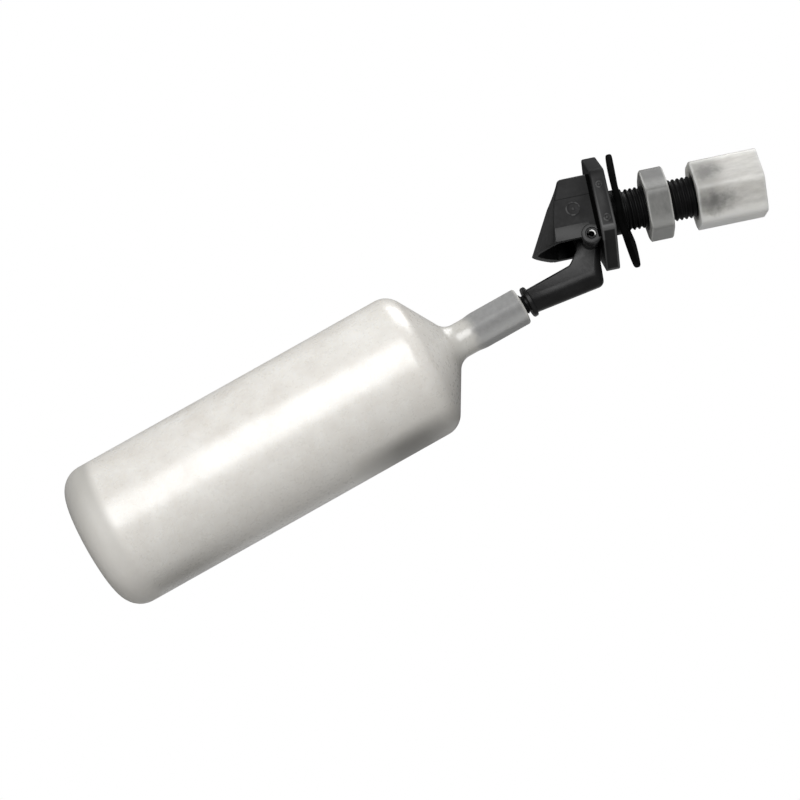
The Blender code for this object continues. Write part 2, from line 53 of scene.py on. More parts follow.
SHARP_ANGLE = math.radians(32)
WELD = 1e-7
CUTTER_REACH = 4 * MM

# Threads
STEM_THREAD = {"crest": 5.55 * MM, "root": 5.0 * MM, "pitch": 1.27 * MM}
STUD_THREAD = {"crest": 3.0 * MM, "root": 2.3 * MM, "pitch": 1.27 * MM}
NUT_THREAD = {"crest": 5.66 * MM, "root": 6.3 * MM, "pitch": 1.27 * MM}
NECK_THREAD = {"crest": 3.1 * MM, "root": 3.6 * MM, "pitch": 1.27 * MM}
THREAD_SECTION = [  # shares of the pitch and of the depth
    (0.0, 0.0), (0.12, 0.12), (0.36, 0.88), (0.44, 1.0), (0.56, 1.0), (0.64, 0.88), (0.88, 0.12)]
THREAD_RUN_OUT = 0.7 * MM
THREAD_STEPS = 72
ROUND_STEPS = 64
THREAD_SHARP_ANGLE = math.radians(28)

# Body
FLANGE_THICKNESS = 3.9 * MM
FLANGE_ACROSS_FLATS = 27.4 * MM
FLANGE_CORNER_ANGLE = math.radians(87.3)
FLANGE_LIFT = 0.5 * MM
FLANGE_CORNER_ROUNDING = 1.2 * MM
FLANGE_FILLET = 0.45 * MM
SHOULDER_RADIUS = 6.0 * MM
SHOULDER_END = 4.2 * MM
THREAD_START = 4.5 * MM
FEED_BORE = 2.6 * MM
TUBE_SOCKET = 3.35 * MM
TUBE_SOCKET_DEPTH = 6.0 * MM
SEAT_CONE = 4.1 * MM
SEAT_CONE_DEPTH = 1.5 * MM
HOOD_TOP = 9.0 * MM
HOOD_RIM = -7.3 * MM
HOOD_BEND = 4.2 * MM
HOOD_BEND_REACH = 0.6 * MM
HOOD_HALF_WIDTH = 11.6 * MM
HOOD_WALL = 1.5 * MM
HOOD_ROOF_FRONT = -12.2 * MM
HOOD_SIDE_FRONT = -16.4 * MM
HOOD_TIP = -22.1 * MM
HOOD_BLUNTNESS = 1.4
NOSE_STEPS = 28
HOOD_CORNER_ROUNDING = 0.7 * MM
HOOD_TOP_FILLET = 0.8 * MM
BAND_HEIGHT = 3.6 * MM
BAND_PROUD = 0.5 * MM
BOSS_RADIUS = 2.65 * MM
BOSS_PROUD = 1.0 * MM
BOSS_MOUTH = 1.7 * MM
MOULDED_EDGE = 0.12 * MM
PANEL_TOP = 3.7 * MM
PANEL_DEPTH = 0.2 * MM
GROOVE_WIDTH = 1.0 * MM
GROOVE_DEPTH = 0.7 * MM
HOOD_MARK = ((-9.8 * MM, 0.6 * MM), 1.9 * MM)
FLANGE_MARKS = [((-2.05 * MM, 5.05 * MM), 1.0 * MM), ((-1.8 * MM, -4.0 * MM), 1.1 * MM)]
MARKS = [HOOD_MARK] + FLANGE_MARKS
MARK_LINE = 0.4 * MM
RELIEF = 0.18 * MM
MARK_ROOTING = 0.3 * MM
MARK_EDGE = 0.05 * MM
MARK_STEPS = 40

# Pivot and lever
PIVOT = Vector((-6.5 * MM, 0.0, -7.0 * MM))
OPEN_ANGLE = math.radians(17.9)
OPENED = Matrix.Rotation(-OPEN_ANGLE, 4, "Y")
PIN_RADIUS = 1.25 * MM
PIN_WALL = 0.5 * MM
PIN_RECESS = 0.6 * MM
PIN_HALF_SLOT = 0.35
ARM_HALF_WIDTH = 3.5 * MM
ARM_ROUNDING_STEPS = 9
AXIS_DROP = 5.5 * MM
COLLAR_DISTANCE = 21.5 * MM
BAR_END = 26.0 * MM
COLLAR_RADIUS = 4.25 * MM
COLLAR_THICKNESS = 1.3 * MM
HUB_RADIUS = 2.25 * MM
HUB_REACH = 9.5 * MM
SEAL_RADIUS = 2.5 * MM
SEAL_THICKNESS = 2.0 * MM
SEAL_FACE = -FLANGE_THICKNESS - 1.3 * MM - PIVOT.x - 0.15 * MM
CUP_MOUTH = SEAL_FACE - 0.5 * MM
CUP_BACK = CUP_MOUTH - 3.2 * MM
CUP_RADIUS = 3.6 * MM
STUD_LENGTH = 15.6 * MM
STUD_THREAD_START = 1.0 * MM

# Float, along its axis from the collar's middle
NECK_START = 2.2 * MM
NECK_ACROSS_FLATS = 9.5 * MM
NECK_LENGTH = 20.9 * MM
NECK_CORNER_ANGLE = math.radians(8)
NECK_HEXAGON_TO = 13.0 * MM
NECK_ROUND_FROM = 16.0 * MM
NECK_BASE_RADIUS = 4.75 * MM
NECK_FILLET = 4.0 * MM
PARTING_HEIGHT = 0.1 * MM
PARTING_WIDTH = 0.3 * MM
FLOAT_RADIUS = 20.0 * MM
FLOAT_LENGTH = 128.4 * MM
FLOAT_END_RADIUS = 6.5 * MM
FLOAT_SHOULDER_RUN = 8.9 * MM
FLOAT_SHOULDER_RADIUS = 6.0 * MM
FLOAT_SIDE_RINGS = 24
FLOAT_END_RINGS = 12

# Loose pieces along the stem
WASHER_X = 3.6 * MM
WASHER_THICKNESS = 1.65 * MM
WASHER_RADIUS = 15.4 * MM
WASHER_HOLE_RADIUS = 6.4 * MM
WASHER_TURN = math.radians(-6.4)
WASHER_TWIST = math.radians(-3.8)
WASHER_TWIST_FROM = 1.0 * MM
WASHER_TWIST_TO = -7.0 * MM
WASHER_BEND_HEIGHT = 7.0 * MM
WASHER_BEND_SOFTNESS = 4.0 * MM
WASHER_BEND = 0.068
WASHER_BEND_OFFSET = -0.45 * MM
WASHER_WAVE = 0.06 * MM
BULKHEAD_NUT_APOTHEM = 8.65 * MM
BULKHEAD_NUT_CORNER = math.radians(50.5)
COMPRESSION_NUT_APOTHEM = 8.6 * MM
COMPRESSION_NUT_CORNER = math.radians(2)
NUT_MOUTH = 0.35 * MM
NUT_PATCHES = [  # thin places: along the nut and height, length and width, depth of tone
    ((3.4 * MM, 4.0 * MM), (5.4 * MM, 3.2 * MM), 0.55),
    ((4.6 * MM, -4.2 * MM), (6.4 * MM, 3.4 * MM), 0.75),
    ((9.0 * MM, -3.6 * MM), (2.2 * MM, 2.0 * MM), 0.35),
]


# --- outlines and meshes

def arc(centre, radius, start, end, steps):
    angles = [start + (end - start) * k / steps for k in range(steps + 1)]
    return [(centre[0] + radius * math.cos(a), centre[1] + radius * math.sin(a)) for a in angles]


def quarter_turn(steps):
    return [QUARTER * k / steps for k in range(steps + 1)]


def circle(radius, steps, phase=0.0):
    return arc((0.0, 0.0), radius, phase, phase + 2 * math.pi * (steps - 1) / steps, steps - 1)


def corner_arc(before, here, after, radius, steps):
    """The arc that replaces one corner, whichever way it turns."""
    here = Vector(here)
    back = (Vector(before) - here).normalized()
    ahead = (Vector(after) - here).normalized()
    half = back.angle(ahead) / 2
    centre = here + (back + ahead).normalized() * (radius / math.sin(half))
    start = here + back * (radius / math.tan(half)) - centre
    end = here + ahead * (radius / math.tan(half)) - centre
    turn = math.atan2(start.y, start.x)
    sweep = (math.atan2(end.y, end.x) - turn + math.pi) % (2 * math.pi) - math.pi
    return arc(centre, radius, turn, turn + sweep, steps)


def round_corners(corners, radii, steps):
    """A closed outline with every corner rounded, by one radius or by a list of them."""
    points = []
    for k, corner in enumerate(corners):
        radius = radii[k] if isinstance(radii, list) else radii
        points += corner_arc(corners[k - 1], corner, corners[(k + 1) % len(corners)], radius, steps)
    return points


def rounded_run(corners, radii, steps):
    """An open line with its inner corners rounded."""
    points = [corners[0]]
    for before, here, after, radius in zip(corners, corners[1:], corners[2:], radii):
        points += corner_arc(before, here, after, radius, steps)
    return points + [corners[-1]]


def subdivide(points, longest):
    """Split an outline's long runs evenly."""
    result = []
    for here, after in zip(points, points[1:] + points[:1]):
        run = Vector(after) - Vector(here)
        pieces = max(1, math.ceil(run.length / longest))
        result += [tuple(Vector(here) + run * k / pieces) for k in range(pieces)]
    return result


def smoothstep(low, high, value):
    share = min(1.0, max(0.0, (value - low) / (high - low)))
    return share * share * (3 - 2 * share)


def soft_min(a, b, blend):
    overlap = max(blend - abs(a - b), 0.0) / blend
    return min(a, b) - overlap * overlap * blend / 4


def add_rings(bm, rings, joined=False, cap_start=False, cap_end=False):
    """Quads through rings of equal count, optionally joined end to start or capped."""
    made = [[bm.verts.new(point) for point in ring] for ring in rings]
    pairs = list(zip(made, made[1:]))
    if joined:
        pairs.append((made[-1], made[0]))
    count = len(made[0])
    for lower, upper in pairs:
        for k in range(count):
            after = (k + 1) % count
            bm.faces.new((lower[k], lower[after], upper[after], upper[k]))
    if cap_start:
        bm.faces.new(made[0][::-1])
    if cap_end:
        bm.faces.new(made[-1])


def x_rings(profile, steps=THREAD_STEPS, height=0.0):
    """Rings of an (x, radius) profile round a line along X at one height."""
    return [[(x, y, z + height) for y, z in circle(r, steps)] for x, r in profile]


def loft(rings):
    bm = bmesh.new()
    add_rings(bm, rings, cap_start=True, cap_end=True)
    return bm


def turned(profile, steps=96):
    """Turn a closed (x, radius) profile about X."""
    bm = bmesh.new()
    add_rings(bm, x_rings(profile, steps), joined=True)
    return bm


def rectangle(left, right, bottom, top):
    return [(left, bottom), (right, bottom), (right, top), (left, top)]


def prism_y(outline, low, high):
    return loft([[(x, y, z) for x, z in outline] for y in (low, high)])


def drum_y(radius, low, high, fillet, centre, steps=ROUND_STEPS):
    """A round bar along Y with rounded rims."""
    rings = [(low + fillet * (1 - math.cos(a)), radius - fillet * (1 - math.sin(a)))
             for a in (0.0, QUARTER / 2, QUARTER)]
    rings += [(low + high - y, r) for y, r in reversed(rings)]
    return loft([[(centre.x + u, y, centre.z + v) for u, v in circle(r, steps)] for y, r in rings])


def add_thread(bm, start, end, thread):
    """A helical thread's skin along X. It fades to its root at both ends, so rings join on."""
    steps = THREAD_STEPS
    root, crest, pitch = thread["root"], thread["crest"], thread["pitch"]
    turns = math.ceil((end - start) / pitch) + 1
    section = len(THREAD_SECTION)
    rows = [(turn + share, height) for turn in range(-1, turns + 1) for share, height in THREAD_SECTION]

    def point(row, step):
        share, height = rows[row]
        x = min(end, max(start, start + (share + step / steps) * pitch))
        fade = min(1.0, (x - start) / THREAD_RUN_OUT, (end - x) / THREAD_RUN_OUT)
        radius = root + (crest - root) * height * fade
        angle = 2 * math.pi * step / steps
        return x, radius * math.cos(angle), radius * math.sin(angle)

    usable = len(rows) - section
    verts = [[bm.verts.new(point(row, step)) for step in range(steps)] for row in range(len(rows))]
    for row in range(usable - 1):
        for step in range(steps):
            wraps = step + 1 == steps
            side = 0 if wraps else step + 1
            ahead = row + section if wraps else row
            bm.faces.new((verts[row][step], verts[ahead][side], verts[ahead + 1][side], verts[row + 1][step]))
    loose = [v for row in verts for v in row if not v.link_faces]
    bmesh.ops.delete(bm, geom=loose, context="VERTS")


def weld(bm):
    bmesh.ops.remove_doubles(bm, verts=bm.verts, dist=WELD)
    bmesh.ops.dissolve_degenerate(bm, edges=bm.edges, dist=WELD)


def make_mesh(name, bm, sharp_angle=SHARP_ANGLE):
    bmesh.ops.recalc_face_normals(bm, faces=bm.faces)
    mesh = bpy.data.meshes.new(name)
    bm.to_mesh(mesh)
    bm.free()
    mesh.shade_smooth()
    mesh.set_sharp_from_angle(angle=sharp_angle)
    obj = bpy.data.objects.new(name, mesh)
    bpy.context.collection.objects.link(obj)
    return obj


def fuse(obj, bm):
    combine(obj, bm, "UNION")


def cut(obj, bm):
    combine(obj, bm, "DIFFERENCE")


def combine(obj, bm, operation):
    """Apply an exact boolean with a mesh that is used up."""
    tool = make_mesh("tool", bm)
    step = obj.modifiers.new("step", "BOOLEAN")
    step.operation = operation
    step.solver = "EXACT"
    step.object = tool
    apply_modifiers(obj)
    bpy.data.objects.remove(tool, do_unlink=True)


def apply_modifiers(obj):
    bpy.context.view_layer.update()
    evaluated = obj.evaluated_get(bpy.context.evaluated_depsgraph_get())
    mesh = bpy.data.meshes.new_from_object(evaluated)
    obj.modifiers.clear()
    obj.data = mesh


def soften(obj):
    bevel = obj.modifiers.new("edges", "BEVEL")
    bevel.width = MOULDED_EDGE
    bevel.segments = 2
    bevel.limit_method = "ANGLE"
    bevel.angle_limit = math.radians(38)
    apply_modifiers(obj)
    obj.data.shade_smooth()
    obj.data.set_sharp_from_angle(angle=SHARP_ANGLE)


def dress(obj, finish, body, slot, *stands_for):
    obj.data.materials.clear()
    obj.data.materials.append(finish)
    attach(obj, body)
    if stands_for:
        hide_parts(*stands_for)


def open_lever(obj):
    """Turn a lever piece about the pivot, from shut to where the frame holds it."""
    obj.data.transform(Matrix.Translation(PIVOT) @ OPENED)


def x_span(node):
    return (corner.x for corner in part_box(node))


def side_span(side, inner, outer):
    """A stretch of Y on one side of the middle, lowest first."""
    return sorted((side * inner, side * outer))


def corner_radius(apothem):
    return apothem / math.cos(math.pi / 6)


def grey(tone):
    return tone, tone, tone


# --- finishes

class Finish:
    """A node material, built from the shader backwards. Its coordinates are the object's, in metres."""

    def __init__(self, name, roughness, specular=0.5):
        self.material = bpy.data.materials.new(name)
        self.material.use_nodes = True
        self.tree = self.material.node_tree
        self.shader = self.tree.nodes["Principled BSDF"]
        self.shader.inputs["Roughness"].default_value = roughness
        self.shader.inputs["Specular IOR Level"].default_value = specular
        self.place = self.node("ShaderNodeTexCoord").outputs["Object"]

    def node(self, kind, **settings):
        made = self.tree.nodes.new(kind)
        for key, value in settings.items():
            setattr(made, key, value)
        return made

    def feed(self, socket, value):
        if isinstance(value, bpy.types.NodeSocket):
            self.tree.links.new(value, socket)
        else:
            socket.default_value = value

    def math(self, operation, first, second=0.0):
        made = self.node("ShaderNodeMath", operation=operation)
        for socket, value in zip(made.inputs, (first, second)):
            self.feed(socket, value)
        return made.outputs[0]

    def times(self, first, second):
        return self.math("MULTIPLY", first, second)

    def plus(self, first, second):
        return self.math("ADD", first, second)

    def minus(self, first, second):
        return self.math("SUBTRACT", first, second)

    def most(self, first, second):
        return self.math("MAXIMUM", first, second)

    def length(self, first, second):
        """The distance from a line or centre, out of two offsets from it."""
        squares = (self.math("POWER", value, 2.0) for value in (first, second))
        return self.math("SQRT", self.plus(*squares))

    def scale(self, value, low, high, to_low=0.0, to_high=1.0, smooth=False):
        made = self.node("ShaderNodeMapRange", interpolation_type="SMOOTHSTEP" if smooth else "LINEAR")
        for socket, item in zip(made.inputs, (value, low, high, to_low, to_high)):
            self.feed(socket, item)
        return made.outputs[0]

    def noise(self, scale, detail=3.0, roughness=0.55, stretch=None):
        made = self.node("ShaderNodeTexNoise")
        made.inputs["Scale"].default_value = scale
        made.inputs["Detail"].default_value = detail
        made.inputs["Roughness"].default_value = roughness
        place = self.place
        if stretch:
            mapping = self.node("ShaderNodeMapping")
            mapping.inputs["Scale"].default_value = stretch
            self.feed(mapping.inputs["Vector"], place)
            place = mapping.outputs[0]
        self.feed(made.inputs["Vector"], place)
        return made.outputs["Fac"]

    def fall(self, value, low, high, smooth=False):
        return self.scale(value, low, high, 1.0, 0.0, smooth)

    def vary(self, noise, low=0.0, high=1.0):
        """Stretch a noise, which rarely leaves 0.3 to 0.7, over a range."""
        return self.scale(noise, 0.3, 0.7, low, high)

    def axes(self):
        made = self.node("ShaderNodeSeparateXYZ")
        self.feed(made.inputs[0], self.place)
        return made.outputs

    def mix(self, share, first, second):
        made = self.node("ShaderNodeMix", data_type="RGBA")
        self.feed(made.inputs["Factor"], share)
        for socket, value in ((made.inputs[6], first), (made.inputs[7], second)):
            self.feed(socket, value if isinstance(value, bpy.types.NodeSocket) else (*value, 1.0))
        return made.outputs[2]

    def cover(self, share, colour):
        """Lay a colour over the tone so far."""
        self.tone = self.mix(share, self.tone, colour)

    def blend(self, share, first, second):
        """Mix two numbers."""
        made = self.node("ShaderNodeMix", data_type="FLOAT")
        for index, value in ((0, share), (2, first), (3, second)):
            self.feed(made.inputs[index], value)
        return made.outputs[0]

    def colour(self, value):
        self.feed(self.shader.inputs["Base Color"], value)

    def roughness(self, value):
        self.feed(self.shader.inputs["Roughness"], value)

    def bump(self, height, distance, strength=1.0):
        made = self.node("ShaderNodeBump")
        made.inputs["Strength"].default_value = strength
        made.inputs["Distance"].default_value = distance
        self.feed(made.inputs["Height"], height)
        self.feed(self.shader.inputs["Normal"], made.outputs[0])

    def translucent(self, weight, depth, radius):
        """Let light wander inside, as in pale plastic."""
        for key, value in (("Weight", weight), ("Scale", depth), ("Radius", radius)):
            self.shader.inputs["Subsurface " + key].default_value = value


def black_plastic(name, specular, roughness, tone):
    """Moulded black: faint flow clouds, a fine spark-eroded grain and small handling marks."""
    look = Finish(name, roughness, specular)
    clouds = look.noise(260.0, 4.0)
    marks = look.noise(900.0, 5.0, 0.65)
    grain = look.noise(5200.0, 2.0)
    low, high, pale = ((c, c, c * 1.03) for c in (0.7 * tone, 1.3 * tone, 3.0 * tone))
    blotches = look.mix(look.scale(clouds, 0.35, 0.65), low, high)
    wear_and_painted_light = look.times(look.scale(marks, 0.62, 0.78), 0.5)
    look.tone = look.mix(wear_and_painted_light, blotches, pale)
    look.base_roughness = look.vary(marks, roughness - 0.05, roughness + 0.05)
    look.colour(look.tone)
    look.roughness(look.base_roughness)
    look.bump(look.plus(look.times(grain, 0.6), marks), 0.00003, 0.5)
    return look


def within(look, value, low, high, blend):
    """A soft window: 1 from low to high, and 0 outside."""
    rise = look.scale(value, low - blend, low + blend)
    fall = look.fall(value, high - blend, high + blend)
    return look.times(rise, fall)


def hood_plastic(name):
    """The body's black: bosses and bands polished, the hood's sides dull, its inside painted black as shade,
    and painted highlights on the flange's rims and on the marks.
    """
    look = black_plastic(name, 0.24, 0.6, 0.009)
    x, y, z = look.axes()
    outward = look.math("ABSOLUTE", y)
    proud = look.scale(outward, HOOD_HALF_WIDTH + 0.1 * MM, HOOD_HALF_WIDTH + 0.3 * MM)
    on_band = look.times(proud, within(look, x, -1.0, -FLANGE_THICKNESS - 0.2 * MM, 0.1 * MM))
    on_flange = within(look, x, -FLANGE_THICKNESS - 0.05 * MM, MM, 0.05 * MM)
    top = look.scale(z, 7.0 * MM, 10.0 * MM)
    rough = look.blend(on_band, look.base_roughness, 0.35)
    below_top = look.fall(top, 0.0, 1.0)
    rough = look.blend(look.times(on_flange, below_top), rough, 0.48)
    look.roughness(look.blend(look.times(on_flange, top), rough, 0.85))
    # Painted highlight: the flange's rims and corners outside the hood are painted paler, more so towards the
    # bottom.
    half = FLANGE_THICKNESS / 2
    from_middle = look.math("ABSOLUTE", look.plus(x, half))
    rim = look.scale(from_middle, half - 0.75 * MM, half - 0.35 * MM, smooth=True)
    reach = look.length(y, look.minus(z, FLANGE_LIFT))
    corner = FLANGE_ACROSS_FLATS / math.sqrt(3)
    at_corner = look.scale(reach, corner - 0.55 * MM, corner - 0.3 * MM, smooth=True)
    painted_edge_highlight = look.times(look.most(rim, at_corner), on_flange)
    beyond_hood = look.scale(reach, HOOD_HALF_WIDTH + 1.4 * MM, HOOD_HALF_WIDTH + 1.7 * MM)
    lowness = look.scale(z, 7.0 * MM, -7.5 * MM)
    painted_edge_highlight = look.times(painted_edge_highlight, look.times(beyond_hood, lowness))
    look.cover(look.times(painted_edge_highlight, 0.85), grey(0.13))
    # Painted shade: the hood's inside and the groove by the flange are painted near-black, and made metallic
    # so they reflect almost nothing.
    inside = look.fall(outward, HOOD_HALF_WIDTH - 1.3 * MM, HOOD_HALF_WIDTH - 0.9 * MM)
    for share in (within(look, x, HOOD_SIDE_FRONT + 3 * MM, -FLANGE_THICKNESS, 1.5 * MM),
                  look.fall(z, HOOD_TOP - 1.2 * MM, HOOD_TOP - 0.8 * MM)):
        inside = look.times(inside, share)
    # Painted highlight: the marks' raised rings and pips are painted paler, broken up by noise.
    wear_and_painted_light = look.scale(look.noise(900.0, 2.0), 0.42, 0.62, 0.0, 0.9)
    on_skin = look.scale(outward, HOOD_HALF_WIDTH - 0.3 * MM, HOOD_HALF_WIDTH - 0.2 * MM)
    for centre, radius in MARKS:
        from_mark = look.length(look.minus(x, centre[0]), look.minus(z, centre[1]))
        on_ring = within(look, from_mark, radius - MARK_LINE, radius, 0.1 * MM)
        on_pip = look.fall(from_mark, MARK_LINE - 0.1 * MM, MARK_LINE + 0.1 * MM)
        relief = look.times(look.times(look.most(on_ring, on_pip), on_skin), wear_and_painted_light)
        look.cover(relief, grey(0.07))
    # Painted shade: the groove by the flange joins the painted-black inside.
    at_groove = within(look, x, -FLANGE_THICKNESS - GROOVE_WIDTH, -FLANGE_THICKNESS, 0.03 * MM)
    sunk = look.fall(outward, HOOD_HALF_WIDTH - 0.1 * MM, HOOD_HALF_WIDTH)
    in_groove = look.times(at_groove, sunk)
    inside = look.most(inside, in_groove)
    on_face = look.scale(outward, HOOD_HALF_WIDTH + 0.35 * MM, HOOD_HALF_WIDTH + 0.45 * MM)
    look.cover(look.times(on_band, on_face), grey(0.02))
    look.cover(inside, grey(0.002))
    look.colour(look.tone)
    look.feed(look.shader.inputs["Metallic"], inside)
    return look.material


def arm_plastic(name):
    """The arm's black, painted paler just below the pivot as painted light."""
    look = black_plastic(name, 0.22, 0.34, 0.008)
    x, _, z = look.axes()
    # Painted light: the arm just below the pivot, on the float's side of it, is painted paler.
    from_pivot = look.minus(z, PIVOT.z)
    under_pivot = within(look, from_pivot, -5.0 * MM, -2.0 * MM, 1.5 * MM)
    before_heel = look.fall(x, PIVOT.x - 2.0 * MM, PIVOT.x + 1.0 * MM, smooth=True)
    wear_and_painted_light = look.times(under_pivot, before_heel)
    look.cover(wear_and_painted_light, grey(0.045))
    look.colour(look.tone)
    return look.material


def rubber(name, tone, specular):
    """Matte rubber with a dusty bloom and fine pits."""
    look = Finish(name, 0.72, specular)
    bloom = look.noise(350.0, 4.0)
    pits = look.noise(3200.0, 3.0, 0.6)
    pale = tuple(c * 2.4 for c in tone)
    look.colour(look.mix(look.scale(bloom, 0.4, 0.75), tone, pale))
    look.roughness(look.vary(pits, 0.62, 0.82))
    look.bump(pits, 0.00005, 0.7)
    return look.material


def steel(name):
    """Stainless with drawing lines round the pin, painted dark as shade except on its side towards the flange
    and up, which carries a painted highlight.
    """
    look = Finish(name, 0.3)
    look.shader.inputs["Metallic"].default_value = 1.0
    x, _, z = look.axes()
    lines = look.noise(2600.0, 3.0, 0.6, stretch=(1.0, 6.0, 1.0))
    # Painted highlight on the side towards the flange and up; painted shade elsewhere.
    above = look.times(look.minus(z, PIVOT.z), 0.9)
    painted_lit_side = look.plus(look.minus(x, PIVOT.x), above)
    painted_lit_side = look.scale(painted_lit_side, 0.1 * MM, 1.0 * MM, smooth=True)
    look.colour(look.mix(painted_lit_side, grey(0.012), look.mix(lines, grey(0.20), (0.34, 0.34, 0.33))))
    look.roughness(look.vary(lines, 0.3, 0.5))
    look.bump(lines, 0.00001, 0.5)
    return look.material


def acetal(name, tone, roughness):
    """Dense white moulding, faintly translucent."""
    look = Finish(name, roughness)
    clouds = look.noise(420.0, 4.0)
    grain = look.noise(4200.0, 2.0)
    shade = tuple(c * 0.9 for c in tone)
    look.colour(look.mix(clouds, shade, tone))
    look.roughness(look.vary(grain, roughness - 0.06, roughness + 0.06))
    look.bump(grain, 0.00002, 0.5)
    look.translucent(0.12, 0.001, (1.0, 0.9, 0.8))
    return look.material


def nut_shading(look, low, high, apothem, ridge, edge):
    """Shares of the surface near a nut's corners and near its two ends, where a glow is painted."""
    x, y, z = look.axes()
    across = look.length(y, z)
    rise = corner_radius(apothem) - apothem
    at_corner = look.scale(across, apothem + ridge * rise, apothem + 0.92 * rise, smooth=True)
    from_low = look.fall(x, low, low + edge, smooth=True)
    from_high = look.scale(x, high - edge, high, smooth=True)
    return x, z, at_corner, look.most(from_low, from_high)


def grey_nylon(name, low, high):
    """The wall nut's grey nylon: mottled, with a painted glow at its corners and rims, darker towards the top
    and paler towards the bottom as painted light.
    """
    look = Finish(name, 0.45)
    _, z, at_corner, at_end = nut_shading(look, low, high, BULKHEAD_NUT_APOTHEM, 0.7, 0.6 * MM)
    clouds = look.noise(700.0, 4.0, 0.6, stretch=(1.0, 1.0, 0.45))
    grain = look.noise(3800.0, 3.0)
    look.tone = look.mix(look.vary(clouds), (0.16, 0.16, 0.154), (0.22, 0.22, 0.211))
    # Painted shade and light: darker towards the top, paler towards the bottom.
    look.cover(look.scale(z, 4.0 * MM, 6.0 * MM, 0.0, 0.8), (0.08, 0.08, 0.077))
    look.cover(look.scale(z, -4.5 * MM, -7.0 * MM), (0.31, 0.31, 0.30))
    # Painted glow at the corners and ends.
    painted_glow = look.most(look.times(at_corner, 0.8), look.times(at_end, 0.6))
    look.cover(painted_glow, (0.62, 0.62, 0.59))
    look.colour(look.tone)
    look.roughness(look.vary(clouds, 0.38, 0.52))
    look.bump(grain, 0.00003, 0.6)
    look.translucent(0.5, 0.003, (1.0, 1.0, 0.95))
    return look.material


def natural_polypropylene(name, low, high, stem_end):
    """The tube nut's clear-ish polypropylene. The black thread inside shows where the wall is thin."""
    look = Finish(name, 0.36)
    x, z, at_corner, at_end = nut_shading(look, low, high, COMPRESSION_NUT_APOTHEM, 0.35, 0.9 * MM)
    clouds = look.noise(330.0, 4.0, 0.6)
    streaks = look.noise(700.0, 4.0, 0.6, stretch=(0.35, 1.0, 1.0))
    grain = look.noise(3600.0, 3.0)
    over_stem = look.fall(x, stem_end - 6.0 * MM, stem_end + 1.5 * MM, smooth=True)
    ragged = look.vary(clouds, -0.3, 0.3)
    dark = 0.0
    for (along, height), (length, width), depth in NUT_PATCHES:
        off_x = look.math("DIVIDE", look.minus(x, low + along), length)
        off_z = look.math("DIVIDE", look.minus(z, height), width)
        away = look.length(off_x, off_z)
        patch = look.scale(look.plus(away, ragged), 0.1, 1.0, depth, 0.0, smooth=True)
        dark = look.most(dark, patch)
    look.tone = look.mix(look.scale(streaks, 0.35, 0.7), (0.53, 0.52, 0.495), (0.66, 0.65, 0.62))
    look.cover(look.times(over_stem, 0.75), (0.30, 0.295, 0.28))
    # Painted light: paler towards the bottom.
    look.cover(look.scale(z, -6.0 * MM, -8.3 * MM), (0.86, 0.85, 0.81))
    # Painted glow at the corners and ends.
    painted_glow = look.most(look.times(at_corner, 0.25), look.times(at_end, 0.5))
    look.cover(painted_glow, (0.72, 0.72, 0.69))
    look.cover(dark, (0.13, 0.13, 0.125))
    look.colour(look.tone)
    look.roughness(look.vary(clouds, 0.28, 0.42))
    look.bump(grain, 0.00003, 0.5)
    look.translucent(0.8, 0.006, (1.0, 0.98, 0.92))
    return look.material


